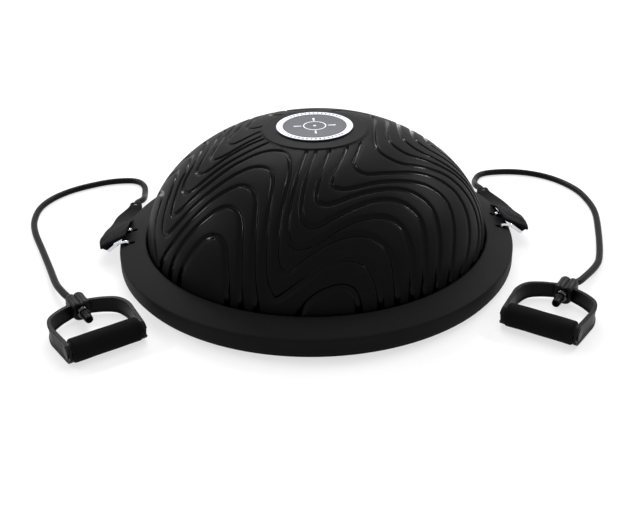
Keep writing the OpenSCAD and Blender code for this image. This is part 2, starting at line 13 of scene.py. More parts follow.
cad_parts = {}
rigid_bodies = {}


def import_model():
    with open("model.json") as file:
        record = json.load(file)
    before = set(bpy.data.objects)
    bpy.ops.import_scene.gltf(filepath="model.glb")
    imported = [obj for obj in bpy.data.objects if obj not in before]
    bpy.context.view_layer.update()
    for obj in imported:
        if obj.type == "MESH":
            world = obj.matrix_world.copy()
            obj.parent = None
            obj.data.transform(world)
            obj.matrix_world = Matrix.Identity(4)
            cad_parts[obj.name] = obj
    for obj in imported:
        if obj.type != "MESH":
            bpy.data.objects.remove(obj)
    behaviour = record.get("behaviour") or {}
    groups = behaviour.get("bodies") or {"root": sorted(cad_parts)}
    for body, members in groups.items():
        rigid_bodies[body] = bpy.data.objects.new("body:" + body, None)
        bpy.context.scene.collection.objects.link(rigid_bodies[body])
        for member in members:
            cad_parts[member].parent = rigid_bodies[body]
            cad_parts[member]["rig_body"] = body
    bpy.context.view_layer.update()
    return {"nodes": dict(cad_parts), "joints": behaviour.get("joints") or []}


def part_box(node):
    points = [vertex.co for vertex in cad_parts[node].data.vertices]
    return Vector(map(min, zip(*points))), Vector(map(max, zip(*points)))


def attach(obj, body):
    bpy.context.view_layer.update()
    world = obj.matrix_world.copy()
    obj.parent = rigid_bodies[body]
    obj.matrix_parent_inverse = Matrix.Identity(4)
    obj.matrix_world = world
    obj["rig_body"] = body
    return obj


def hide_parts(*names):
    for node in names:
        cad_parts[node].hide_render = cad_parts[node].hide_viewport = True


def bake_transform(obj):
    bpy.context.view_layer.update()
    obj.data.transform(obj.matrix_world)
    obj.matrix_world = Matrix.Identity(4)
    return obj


bl_info = {
    "name": "Balance Dome Trainer",
    "version": (1, 0, 0),
    "blender": (4, 5, 0),
    "location": "View3D > Sidebar > Trainer",
    "description": "Finished surfaces for an inflatable balance dome with pull tubes and handles",
    "category": "Add Mesh",
}

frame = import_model()

MM = 0.001
SIDES = {"left": -1, "right": 1}
JOINTS = {joint["name"]: joint for joint in frame["joints"]}

# Sizes from the frame, metres. The dome stands 2 mm clear in the cover ring, which is 39.5 mm wide.
LIP_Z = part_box("cover_ring")[1].z
BASE_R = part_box("cover_ring")[1].y
RING_WIDTH = 39.5 * MM
DOME_GAP = 2 * MM
HOLE_R = BASE_R - RING_WIDTH
DOME_R = HOLE_R - DOME_GAP
FLANGE_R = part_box("dome_bladder")[1].x
FLOOR_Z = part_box("dome_bladder")[0].z
BADGE_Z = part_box("top_badge")[1].z
BADGE_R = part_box("top_badge")[1].x
TUBE_R = 5 * MM
INLET_HOLE_R = 7.05 * MM


# ---- sizes and colours ---------------------------------------------------------------------


def linear(code):
    """Linear red, green and blue of an sRGB hex colour: c / 12.92 up to 0.04045, else ((c + 0.055) / 1.055)
    to the power 2.4."""
    c = np.array([int(code[i : i + 2], 16) for i in (1, 3, 5)]) / 255
    return tuple(np.where(c <= 0.04045, c / 12.92, ((c + 0.055) / 1.055) ** 2.4).tolist())


def length_prop(name, description, default):
    return bpy.props.FloatProperty(name=name, description=description, default=default, min=0, unit="LENGTH")


def colour_prop(name, description, code):
    return bpy.props.FloatVectorProperty(
        name=name, description=description, default=linear(code), min=0, max=1, size=3, subtype="COLOR"
    )


class TrainerSizes(bpy.types.PropertyGroup):
    """Sizes that the frame leaves open"""

    dome_height: length_prop("Dome height", "Height of the crown above the cover ring's lip", 160 * MM)
    crown_radius: length_prop("Crown radius", "Radius of the plain raised disc on top", 75 * MM)
    groove_depth: length_prop("Groove depth", "Depth of the wave grooves in the dome", 2.4 * MM)
    groove_top_width: length_prop(
        "Groove width at the crown", "Width of a wave groove beside the disc", 6.4 * MM
    )
    groove_foot_width: length_prop(
        "Groove width at the foot", "Width of a wave groove at the cover ring", 12.5 * MM
    )
    tube_diameter: length_prop("Tube diameter", "Outer diameter of the pull tubes", 2 * TUBE_R)
    thread_pitch: length_prop("Thread pitch", "Spacing of the ridges woven into the webbing", 1.6 * MM)


class TrainerColours(bpy.types.PropertyGroup):
    """Colours of the finishes"""

    vinyl: colour_prop("Vinyl", "Skin of the dome", "#121213")
    base: colour_prop("Base", "Cover ring and platform", "#181819")
    print_white: colour_prop("Badge print", "Ring and marks printed on the badge", "#e9e9f6")
    print_ground: colour_prop("Badge ground", "Middle of the badge", "#2f3139")
    chrome: colour_prop("Chrome", "Wire rings", "#d2d4d8")
    webbing: colour_prop("Webbing", "Woven straps", "#08080a")
    rubber: colour_prop("Rubber", "Pull tubes", "#0b0b0c")
    handle: colour_prop("Handle", "Moulded handle bands", "#0e0e0f")
    foam: colour_prop("Foam", "Foam grips", "#0e0e0f")
    steel: colour_prop("Steel", "Screws", "#b9babd")
    pad: colour_prop("Pads", "Anti-slip pads", "#2c2c2e")


# ---- surfaces ------------------------------------------------------------------------------


def patch(points, ring=False, loop=False, caps=(), u=None, v=None):
    """A surface through a grid of points [rows, columns, 3]: face (i, j) joins points (i, j), (i, j + 1),
    (i + 1, j + 1) and (i + 1, j). ring joins the last column to the first, loop the last row to the first,
    and caps are the rows to close. u and v are the rows' and columns' distances for a UV map."""
    rows, cols = points.shape[:2]
    at = np.arange(rows * cols).reshape(rows, cols)
    u = np.zeros(rows + 1) if u is None else np.append(u, 2 * u[-1] - u[-2])
    v = np.zeros(cols + 1) if v is None else np.append(v, 2 * v[-1] - v[-2])
    if ring:
        at = np.hstack([at, at[:, :1]])
    if loop:
        at = np.vstack([at, at[:1]])
    quads = np.stack([at[:-1, :-1], at[:-1, 1:], at[1:, 1:], at[1:, :-1]], -1).reshape(-1, 4)
    uv = np.stack(np.meshgrid(u[: at.shape[0]], v[: at.shape[1]], indexing="ij"), -1)
    corner = np.stack([uv[:-1, :-1], uv[:-1, 1:], uv[1:, 1:], uv[1:, :-1]], 2)
    return points.reshape(-1, 3), quads, [at[k, :cols] for k in caps], corner


def piece(name, patches, material, body=None, stands_for=(), crease=40):
    """One object made of patches that close into a skin: doubles merged, faces turned outward, shaded
    smooth up to the crease angle, riding on a body and standing for CAD nodes."""
    verts, faces, corners, start = [], [], [], 0
    for flat, own, ends, corner in patches:
        verts.append(flat)
        faces += (own + start).tolist() + [(end + start).tolist() for end in ends]
        corners += [corner.reshape(-1, 2)] + [np.zeros((len(end), 2)) for end in ends]
        start += len(flat)
    mesh = bpy.data.meshes.new(name)
    mesh.from_pydata(np.vstack(verts).tolist(), [], faces)
    mesh.uv_layers.new(name="UVMap").data.foreach_set("uv", np.vstack(corners).ravel())
    tidy = bmesh.new()
    tidy.from_mesh(mesh)
    bmesh.ops.remove_doubles(tidy, verts=tidy.verts, dist=1e-6)
    bmesh.ops.recalc_face_normals(tidy, faces=tidy.faces)
    tidy.to_mesh(mesh)
    tidy.free()
    mesh.shade_smooth()
    mesh.set_sharp_from_angle(angle=radians(crease))
    return enlist(bpy.data.objects.new(name, mesh), material, body, stands_for)


def enlist(obj, material, body, stands_for):
    """Puts an object in the scene with its finish, its body and the CAD nodes that it stands for."""
    bpy.context.scene.collection.objects.link(obj)
    obj.data.materials.clear()
    obj.data.materials.append(material)
    if body:
        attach(obj, body)
    if stands_for:
        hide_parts(*stands_for)
    return obj


def refined(node, material, bevel=0.0, crease=32):
    """A copy of a CAD node for the eye: doubles merged and shaded smooth up to the crease angle. With a
    bevel, flat faces are joined and sharper edges bevelled."""
    source = frame["nodes"][node]
    mesh = source.data.copy()
    tidy = bmesh.new()
    tidy.from_mesh(mesh)
    bmesh.ops.remove_doubles(tidy, verts=tidy.verts, dist=2e-6)
    if bevel:
        bmesh.ops.dissolve_limit(tidy, angle_limit=radians(0.4), verts=tidy.verts, edges=tidy.edges)
    tidy.to_mesh(mesh)
    tidy.free()
    mesh.shade_smooth()
    mesh.set_sharp_from_angle(angle=radians(crease))
    obj = enlist(bpy.data.objects.new(node + "_finish", mesh), material, source["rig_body"], [node])
    if bevel:
        edge = obj.modifiers.new("edges", "BEVEL")
        edge.width = bevel
        edge.segments = 2
        edge.limit_method = "ANGLE"
        edge.angle_limit = radians(crease)
        edge.use_clamp_overlap = True
        edge.harden_normals = True
    return obj


def smooth(points, gap):
    """Points about every gap along the Catmull-Rom curve, half of 2b + (c - a) t + (2a - 5b + 4c - d) t^2 +
    (3b - a - 3c + d) t^3, whose end points are mirrored."""
    p = np.asarray(points, float)
    p = np.vstack([2 * p[0] - p[1], p, 2 * p[-1] - p[-2]])
    runs = []
    for a, b, c, d in zip(p[:-3], p[1:-2], p[2:-1], p[3:]):
        t = np.arange(max(1, round(np.linalg.norm(c - b) / gap)))[:, None]
        t = t / len(t)
        cubic = (2 * a - 5 * b + 4 * c - d) * t**2 + (3 * b - a - 3 * c + d) * t**3
        runs.append(0.5 * (2 * b + (c - a) * t + cubic))
    return np.vstack(runs + [p[-2:-1]])


def softened(corners, radius, steps=5):
    """A polyline with rounded corners: each corner becomes a quadratic arc between the points a radius
    before and after it."""
    p = np.asarray(corners, float)
    before, after = p[:-2] - p[1:-1], p[2:] - p[1:-1]
    reach_in, reach_out = (np.linalg.norm(x, axis=1, keepdims=True) for x in (before, after))
    near = p[1:-1] + before / reach_in * np.minimum(radius, 0.45 * reach_in)
    far = p[1:-1] + after / reach_out * np.minimum(radius, 0.45 * reach_out)
    t = np.linspace(0, 1, steps + 1)[None, :, None]
    arcs = (1 - t) ** 2 * near[:, None] + 2 * t * (1 - t) * p[1:-1, None] + t**2 * far[:, None]
    return np.vstack([p[:1], arcs.reshape(-1, p.shape[1]), p[-1:]])


def unit(v):
    return v / np.linalg.norm(v, axis=-1, keepdims=True)


def distance_along(path):
    return np.append(0, np.cumsum(np.linalg.norm(np.diff(path, axis=0), axis=1)))


def carried(path, section, up=(0.0, 0.0, 1.0)):
    """A section carried along a path: point (i, k) is path i + section k's first number along side i + its
    second along top i, where side is the path's direction crossed with up, and top is side crossed with the
    direction."""
    heading = unit(np.gradient(path, axis=0))
    side = unit(np.cross(heading, up))
    top = np.cross(side, heading)
    section = section if section.ndim == 3 else section[None]
    return path[:, None] + section[..., :1] * side[:, None] + section[..., 1:] * top[:, None]


def circle(radius, count):
    """Points of a circle: radius times (cos a, sin a)."""
    a = np.linspace(0, 2 * pi, count, endpoint=False)
    return radius * np.stack([np.cos(a), np.sin(a)], -1)


def turned(profile, count, place):
    """A profile of (distance along, radius) turned about the first axis of a place: (s, r cos a, r sin a),
    set down by the place's matrix."""
    profile = np.asarray(profile, float)
    round_ = circle(1, count)
    along = np.repeat(profile[:, None, :1], count, 1)
    return placed(np.concatenate([along, profile[:, None, 1:] * round_[None]], -1), place)


def placed(points, place):
    """Points moved by a 4 x 4 matrix."""
    m = np.array(place)
    return points @ m[:3, :3].T + m[:3, 3]


def handle_place(side):
    """The place of a handle: its first axis is the grip's, its second points along the tube, and its origin
    is the grip's middle."""
    grip, swivel = JOINTS[f"grip_{side}_spin"], JOINTS[f"handle_{side}_swivel"]
    x, y = Vector(grip["axis"]).normalized(), Vector(swivel["axis"]).normalized()
    m = Matrix.Identity(4)
    m.col[0][:3], m.col[1][:3], m.col[2][:3], m.col[3][:3] = x, y, x.cross(y), grip["pos_m"]
    return m


# ---- finishes ------------------------------------------------------------------------------


def add_node(tree, kind, inputs=None, **settings):
    """Adds a shader node: settings are its properties, inputs are values to set or sockets to link."""
    made = tree.nodes.new("ShaderNode" + kind)
    for key, value in settings.items():
        setattr(made, key, value)
    for key, value in (inputs or {}).items():
        if isinstance(value, bpy.types.NodeSocket):
            tree.links.new(value, made.inputs[key])
        else:
            made.inputs[key].default_value = value
    return made


def finish_of(name, constants):
    """A new material with a Principled shader whose constants are set on its own sockets. Returns the
    material, its tree and the shader."""
    material = bpy.data.materials.new(name)
    material.use_nodes = True
    tree = material.node_tree
    shader = tree.nodes["Principled BSDF"]
    for key, value in constants.items():
        shader.inputs[key].default_value = value
    return material, tree, shader


def dress(tree, shader, tone, gloss, relief):
    """Links a finish's colour, roughness and relief to its shader."""
    for key, socket in (("Base Color", tone), ("Roughness", gloss), ("Normal", relief)):
        tree.links.new(socket, shader.inputs[key])


def shaded(colour, amount):
    """A colour made lighter or darker by a share, as a four-part colour."""
    return tuple(min(1.0, c * (1 + amount)) for c in colour) + (1.0,)


def mottled(name, colour, constants, grain, bump, spread=0.2, rough=(0.4, 0.5), patches=14.0):
    """A moulded or cast skin: broad patches of slightly lighter colour and of gloss, under a fine grain of
    a size in metres and a depth."""
    material, tree, shader = finish_of(name, constants)
    place = add_node(tree, "TexCoord").outputs["Object"]
    broad = add_node(tree, "TexNoise", {"Vector": place, "Scale": patches, "Detail": 3.0, "Roughness": 0.55})
    fine = add_node(tree, "TexNoise", {"Vector": place, "Scale": 1 / grain, "Detail": 2.0, "Roughness": 0.5})
    tone = add_node(tree, "ValToRGB", {"Fac": broad.outputs["Fac"]})
    tone.color_ramp.elements[0].position, tone.color_ramp.elements[1].position = 0.3, 0.7
    tone.color_ramp.elements[0].color = shaded(colour, -spread)
    tone.color_ramp.elements[1].color = shaded(colour, spread)
    gloss = add_node(
        tree, "MapRange",
        {
            "Value": broad.outputs["Fac"], "From Min": 0.3, "From Max": 0.7,
            "To Min": rough[0], "To Max": rough[1],
        },
    )
    relief = add_node(
        tree, "Bump", {"Height": fine.outputs["Fac"], "Strength": bump, "Distance": grain * 0.3}
    )
    dress(tree, shader, tone.outputs["Color"], gloss.outputs["Result"], relief.outputs["Normal"])
    return material


def soft_vinyl(colours):
    """Rotationally moulded PVC: an even matt skin with a faint orange peel. The grooves, where the mould
    was polished, are glossier, and painted shade makes their colour darker, so that they show as black
    lines in front and as bright ones where they face a lamp."""
    material = mottled(
        "soft_vinyl_moulded", colours.vinyl,
        {"IOR": 1.52, "Specular IOR Level": 0.03, "Coat Roughness": 0.1, "Coat IOR": 1.5},
        grain=1.1 * MM, bump=0.1, spread=0.12, rough=(0.42, 0.5),
    )
    tree = material.node_tree
    shader = tree.nodes["Principled BSDF"]
    tone, gloss = (shader.inputs[key].links[0].from_socket for key in ("Base Color", "Roughness"))
    groove = add_node(tree, "SeparateXYZ", {"Vector": add_node(tree, "TexCoord").outputs["UV"]}).outputs["Y"]
    flank = add_node(tree, "MapRange", {"Value": groove, "From Max": 0.4})
    # Painted shade: the groove share darkens the colour by nine tenths inside the grooves
    tone = add_node(
        tree, "Mix", {"Factor": flank.outputs["Result"], "A": tone, "B": shaded(colours.vinyl, -0.9)},
        data_type="RGBA",
    )
    coat = add_node(tree, "MapRange", {"Value": flank.outputs["Result"], "To Max": 0.07})
    gloss = add_node(tree, "MapRange", {"Value": flank.outputs["Result"], "To Min": gloss, "To Max": 0.2})
    tree.links.new(tone.outputs[2], shader.inputs["Base Color"])
    tree.links.new(gloss.outputs["Result"], shader.inputs["Roughness"])
    tree.links.new(coat.outputs["Result"], shader.inputs["Coat Weight"])
    return material


def base_plastic(colours):
    """Injection-moulded polypropylene with a spark-eroded grain: matt black that turns grey where it faces
    the lamps."""
    return mottled(
        "polypropylene_grained", colours.base, {"IOR": 1.49, "Specular IOR Level": 0.04},
        grain=0.9 * MM, bump=0.22, spread=0.1, rough=(0.5, 0.58),
    )


def handle_nylon(colours):
    """Injection-moulded nylon: smoother than the base, with a low sheen along its rims."""
    return mottled(
        "nylon_satin_moulded", colours.handle, {"IOR": 1.53, "Specular IOR Level": 0.08},
        grain=0.7 * MM, bump=0.15, spread=0.12, rough=(0.34, 0.44), patches=40.0,
    )


def gloss_ferrule(colours):
    """Polished ABS: dark and glassy, so that it shows one sharp streak of light."""
    return mottled(
        "abs_polished", colours.handle, {"IOR": 1.54, "Specular IOR Level": 0.6},
        grain=2 * MM, bump=0.03, spread=0.1, rough=(0.1, 0.16), patches=60.0,
    )


def pad_rubber(colours):
    """Compression-moulded rubber: a dull, dusty grey-black that grips the floor."""
    return mottled(
        "rubber_compression_moulded", colours.pad, {"IOR": 1.52, "Specular IOR Level": 0.2},
        grain=1.2 * MM, bump=0.3, spread=0.2, rough=(0.7, 0.85), patches=50.0,
    )


def screw_steel(colours):
    """Zinc-plated steel: bright grey with a soft bluish cast and fine turning marks."""
    return mottled(
        "steel_zinc_plated", colours.steel, {"Metallic": 1.0},
        grain=0.8 * MM, bump=0.1, spread=0.08, rough=(0.26, 0.36), patches=200.0,
    )


def chrome_plate(colours):
    """Chrome plate on bent wire: a mirror with faint drawing lines, so that it is white above and dark
    below."""
    return mottled(
        "steel_chrome_plated", colours.chrome, {"Metallic": 1.0},
        grain=1.5 * MM, bump=0.02, spread=0.03, rough=(0.05, 0.1), patches=120.0,
    )


def latex_tube(colours):
    """Dipped latex tube, dusted with talc: a broad soft highlight along its top, broken by slightly duller
    bands round it. Its UV map runs in metres, u along."""
    material, tree, shader = finish_of("latex_dipped_tube", {"IOR": 1.52, "Specular IOR Level": 0.06})
    place = add_node(tree, "TexCoord")
    bands = add_node(tree, "Mapping", {"Vector": place.outputs["UV"], "Scale": (90.0, 8.0, 1.0)})
    dust = add_node(tree, "TexNoise", {"Vector": bands.outputs["Vector"], "Scale": 1.0, "Detail": 4.0})
    skin = add_node(
        tree, "TexNoise", {"Vector": place.outputs["Object"], "Scale": 1 / (1.4 * MM), "Detail": 2.0}
    )
    tone = add_node(tree, "ValToRGB", {"Fac": dust.outputs["Fac"]})
    tone.color_ramp.elements[0].color = shaded(colours.rubber, -0.15)
    tone.color_ramp.elements[1].color = shaded(colours.rubber, 0.45)
    gloss = add_node(tree, "MapRange", {"Value": dust.outputs["Fac"], "To Min": 0.3, "To Max": 0.46})
    relief = add_node(tree, "Bump", {"Height": skin.outputs["Fac"], "Strength": 0.12, "Distance": 0.3 * MM})
    dress(tree, shader, tone.outputs["Color"], gloss.outputs["Result"], relief.outputs["Normal"])
    return material


def grip_foam(colours):
    """Closed-cell NBR foam: very dark and matt, pitted with cells about 0.9 mm across, which take the shine
    off every edge."""
    material, tree, shader = finish_of("nbr_foam_cut", {"IOR": 1.45, "Specular IOR Level": 0.06})
    place = add_node(tree, "TexCoord").outputs["Object"]
    cells = add_node(tree, "TexVoronoi", {"Vector": place, "Scale": 1 / (0.9 * MM), "Randomness": 1.0})
    swell = add_node(tree, "TexNoise", {"Vector": place, "Scale": 90.0, "Detail": 3.0})
    tone = add_node(tree, "ValToRGB", {"Fac": swell.outputs["Fac"]})
    tone.color_ramp.elements[0].color = shaded(colours.foam, -0.2)
    tone.color_ramp.elements[1].color = shaded(colours.foam, 0.5)
    gloss = add_node(tree, "MapRange", {"Value": cells.outputs["Distance"], "To Min": 0.95, "To Max": 0.7})
    relief = add_node(
        tree, "Bump", {"Height": cells.outputs["Distance"], "Strength": 0.5, "Distance": 0.25 * MM}
    )
    wave = add_node(
        tree, "Bump",
        {
            "Height": swell.outputs["Fac"], "Strength": 0.3, "Distance": 0.8 * MM,
            "Normal": relief.outputs["Normal"],
        },
    )
    dress(tree, shader, tone.outputs["Color"], gloss.outputs["Result"], wave.outputs["Normal"])
    return material


def woven_webbing(colours, pitch):
    """Polypropylene webbing: ridges of yarn across the strap, crossed by finer picks, with a dull fuzz.
    Painted highlight and shade follow the weave, lighter on its ridges and darker in its hollows. Its
    UV map runs in metres, u along the strap and v across its face."""
    material, tree, shader = finish_of(
        "polypropylene_webbing_woven",
        {"IOR": 1.49, "Specular IOR Level": 0.06, "Sheen Weight": 0.03, "Sheen Roughness": 0.5},
    )
    uv = add_node(tree, "TexCoord").outputs["UV"]
    split = add_node(tree, "SeparateXYZ", {"Vector": uv})
    # The weave is 1.6 mm, about twice the real pitch, so that it shows
    waves = []
    for axis, step in (("X", pitch), ("Y", pitch * 0.75)):
        turn = add_node(tree, "Math", {0: split.outputs[axis], 1: 2 * pi / step}, operation="MULTIPLY")
        waves.append(add_node(tree, "Math", {0: turn.outputs[0]}, operation="SINE"))
    weave = add_node(tree, "Math", {0: waves[0].outputs[0], 1: waves[1].outputs[0]}, operation="MULTIPLY")
    fuzz = add_node(tree, "TexNoise", {"Vector": uv, "Scale": 900.0, "Detail": 3.0})
    height = add_node(
        tree, "Math", {0: fuzz.outputs["Fac"], 1: 0.8, 2: weave.outputs[0]}, operation="MULTIPLY_ADD"
    )
    # Painted highlight and shade: the colour follows the weave's height, lighter on the ridges and darker in
    # the hollows, with the fuzz's random tone on top
    share = add_node(tree, "MapRange", {"Value": height.outputs[0], "From Min": -1.0, "From Max": 1.8})
    tone = add_node(tree, "ValToRGB", {"Fac": share.outputs["Result"]})
    tone.color_ramp.elements[0].color = shaded(colours.webbing, -0.5)
    tone.color_ramp.elements[1].color = shaded(colours.webbing, 1.2)
    gloss = add_node(
        tree, "MapRange",
        {
            "Value": height.outputs[0], "From Min": -1.0, "From Max": 1.8, "To Min": 0.9, "To Max": 0.55
        },
    )
    relief = add_node(tree, "Bump", {"Height": height.outputs[0], "Strength": 0.6, "Distance": 0.3 * MM})
    dress(tree, shader, tone.outputs["Color"], gloss.outputs["Result"], relief.outputs["Normal"])
    return material


# Bands of the badge's print, millimetres from its middle, and the number of ticks in a whole turn
PRINT_BANDS = {
    "ring": (45.8, 54.6), "ticks": (48, 52.4), "target": (15, 16.6), "dot": (0, 2.2), "spokes": (19, 30)
}
TICKS = 52.0


def badge_print(colours):
    """Screen print on vinyl: a white ring with fine dark ticks in its front and back arcs, round a grey
    ground that holds a plain target and four short spokes."""
    material, tree, shader = finish_of(
        "vinyl_screen_printed", {"IOR": 1.5, "Specular IOR Level": 0.3, "Roughness": 0.4}
    )
    place = add_node(tree, "TexCoord").outputs["Object"]
    split = add_node(tree, "SeparateXYZ", {"Vector": place})
    x, y = split.outputs["X"], split.outputs["Y"]

    def calc(operation, a, b=0.0, c=0.0):
        return add_node(tree, "Math", {0: a, 1: b, 2: c}, operation=operation).outputs[0]

    def within(band):
        """1 in a band of the print, else 0."""
        low, high = (edge * MM for edge in PRINT_BANDS[band])
        return calc("MULTIPLY", calc("GREATER_THAN", radius, low), calc("LESS_THAN", radius, high))

    radius = calc("SQRT", calc("MULTIPLY_ADD", x, x, calc("MULTIPLY", y, y)))
    angle = calc("ARCTAN2", x, y)
    ring = within("ring")
    ticks = calc("GREATER_THAN", calc("SINE", calc("MULTIPLY", angle, TICKS)), 0.15)
    arc = calc("GREATER_THAN", calc("ABSOLUTE", calc("COSINE", angle)), 0.62)
    marks = calc("MULTIPLY", calc("MULTIPLY", ticks, arc), within("ticks"))
    target = calc("MAXIMUM", within("target"), within("dot"))
    spokes = calc("GREATER_THAN", calc("ABSOLUTE", calc("COSINE", calc("MULTIPLY", angle, 2.0))), 0.995)
    target = calc("MAXIMUM", target, calc("MULTIPLY", spokes, within("spokes")))
    cut = calc("SUBTRACT", 1.0, calc("MULTIPLY", marks, 0.9))
    white = calc("MAXIMUM", calc("MULTIPLY", ring, cut), target)
    wear = add_node(tree, "TexNoise", {"Vector": place, "Scale": 260.0, "Detail": 3.0})
    left = add_node(
        tree, "MapRange",
        {"Value": wear.outputs["Fac"], "From Min": 0.3, "From Max": 0.6, "To Min": 0.86, "To Max": 1.0},
    )
    worn = calc("MULTIPLY", white, left.outputs["Result"])
    ground, ink = shaded(colours.print_ground, 0), shaded(colours.print_white, 0)
    paint = add_node(tree, "Mix", {"Factor": worn, "A": ground, "B": ink}, data_type="RGBA")
    tree.links.new(paint.outputs[2], shader.inputs["Base Color"])
    relief = add_node(tree, "Bump", {"Height": white, "Strength": 0.3, "Distance": 0.1 * MM})
    tree.links.new(relief.outputs["Normal"], shader.inputs["Normal"])
    return material


# ---- the dome ------------------------------------------------------------------------------

CROWN_DROP = 6 * MM
DOME_POWER = 1.9
DISC_STEP, DISC_CROWN = 1.5 * MM, 4.5 * MM
WALL, FLOOR_THICKNESS, FLANGE_THICKNESS = 4 * MM, 3 * MM, 5 * MM

# Where the skin's points stand, in millimetres: the step along a groove, the step of its fine middle line
# and the gap of the lattice between grooves. A groove's rows stand at shares of its half width beside the
# middle line.
ROW_STEP, MIDDLE_STEP, LATTICE_GAP = 2.6, 1.0, 5.2
ROW_SHARES = (-1.1, -0.88, -0.72, -0.55, -0.35, 0, 0.35, 0.55, 0.72, 0.88, 1.1)
ROW_TOLERANCE = 0.35 * MM


def dome_height_at(r, a, h):
    """Height of the dome's skin above the lip: h (1 - (r/a)^p)^(1/p), less the crown's drop (1 - (r /
    0.6a)^2)^2 inside 0.6a."""
    t = np.clip(r / a, 0, 1)
    flat = np.clip(1 - (r / (0.6 * a)) ** 2, 0, None) ** 2
    return h * np.clip(1 - t**DOME_POWER, 0, None) ** (1 / DOME_POWER) - CROWN_DROP * flat


def dome_meridian(height):
    """Radius and height of the skin from the crown to below the lip, in steps of even angle, with the
    distance along it."""
    turn = np.linspace(0, pi / 2, 400)
    r = DOME_R * np.sin(turn)
    z = LIP_Z + dome_height_at(r, DOME_R, height + CROWN_DROP)
    r, z = np.append(r, DOME_R), np.append(z, LIP_Z - 20 * MM)
    line = np.stack([r, z], -1)
    return line, distance_along(line)


# The grooves' courses, in millimetres on the skin laid flat from the crown: right is +X and back is +Y.
# Behind the crown each groove is the one before it moved by a step; in front each has its own course.
WAVE_STEP = (24.5, 26.0)
FIRST_ARCH = (-225.0, 22.0)
ARM = [(-282, -28), (-230, -28), (-170, -15), (-110, -4), (-65, 2), (-27, 2), (-8, 2), (5, -6), (11, -20)]
LEG = [(9, -44), (2, -68), (-6, -92)]
WAVE = [(-11, -108), (-7, -126), (6, -135), (48, -132), (98, -122), (126, -119), (139, -129), (143, -150)]
LEFT_WAVES = {
    2: [(-330, 30), (-285, 38), (-255, 37), (-234, 29), (-218, 13), (-216, -6), (-221, -29), (-234, -62),
        (-249, -96),
        (-249, -116), (-235, -125), (-200, -121), (-155, -108), (-113, -96), (-88, -94), (-71, -104),
        (-65, -122), (-71, -160),
        (-84, -213), (-93, -258), (-90, -286), (-78, -294), (-37, -278), (8, -256), (38, -252),
        (62, -262), (80, -290), (90, -322)],
    3: [(-328, 47), (-290, 55), (-255, 59), (-225, 58), (-205, 51), (-190, 30), (-189, 12), (-195, -19),
        (-207, -41),
        (-219, -74), (-226, -95), (-220, -104), (-200, -104), (-155, -90), (-111, -74), (-75, -64),
        (-51, -69), (-41, -86),
        (-42, -120), (-55, -168), (-70, -230), (-71, -254), (-60, -263), (-37, -249), (8, -228),
        (45, -219), (72, -223),
        (95, -242), (107, -276), (120, -314)],
    4: [(-163, 45), (-170, 16), (-181, -16), (-197, -47), (-201, -67), (-195, -81), (-178, -83),
        (-140, -70), (-97, -54), (-62, -38)],
    5: [(-135, 72), (-141, 43), (-151, 17), (-166, -21), (-176, -45), (-171, -57), (-158, -61),
        (-125, -49), (-91, -34), (-60, -22)],
    6: [(-116, 82), (-126, 44), (-139, 9), (-151, -23), (-151, -37), (-142, -42), (-124, -40),
        (-95, -25), (-62, -8)],
    7: [(-100, 85), (-109, 48), (-124, 11), (-127, -6), (-119, -16), (-107, -14), (-87, -3), (-62, 11)],
    8: [(-84, 90), (-90, 64), (-97, 38), (-95, 26), (-84, 21), (-62, 23)],
    9: [(-62, 92), (-60, 78), (-50, 71), (-32, 60)],
}
RIGHT_WAVES = {
    10: [(114, 60), (109, 25), (103, -15), (106, -41), (124, -59), (153, -57), (193, -49), (230, -46),
         (260, -62), (282, -96), (300, -150)],
    11: [(136, 78), (129, 35), (127, -8), (136, -28), (154, -37), (201, -33), (243, -31), (272, -42),
         (296, -66), (318, -115)],
    12: [(156, 65), (150, 28), (152, 2), (166, -12), (201, -11), (250, -8), (285, -17), (312, -40),
         (330, -60)],
    13: [(181, 65), (176, 36), (184, 16), (215, 12), (255, 14), (295, 10), (335, 2)],
    14: [(205, 95), (202, 60), (210, 44), (240, 38), (280, 40), (330, 36)],
    15: [(232, 120), (228, 88), (240, 70), (275, 66), (325, 62)],
    16: [(257, 150), (254, 118), (268, 98), (300, 92), (330, 90)],
}
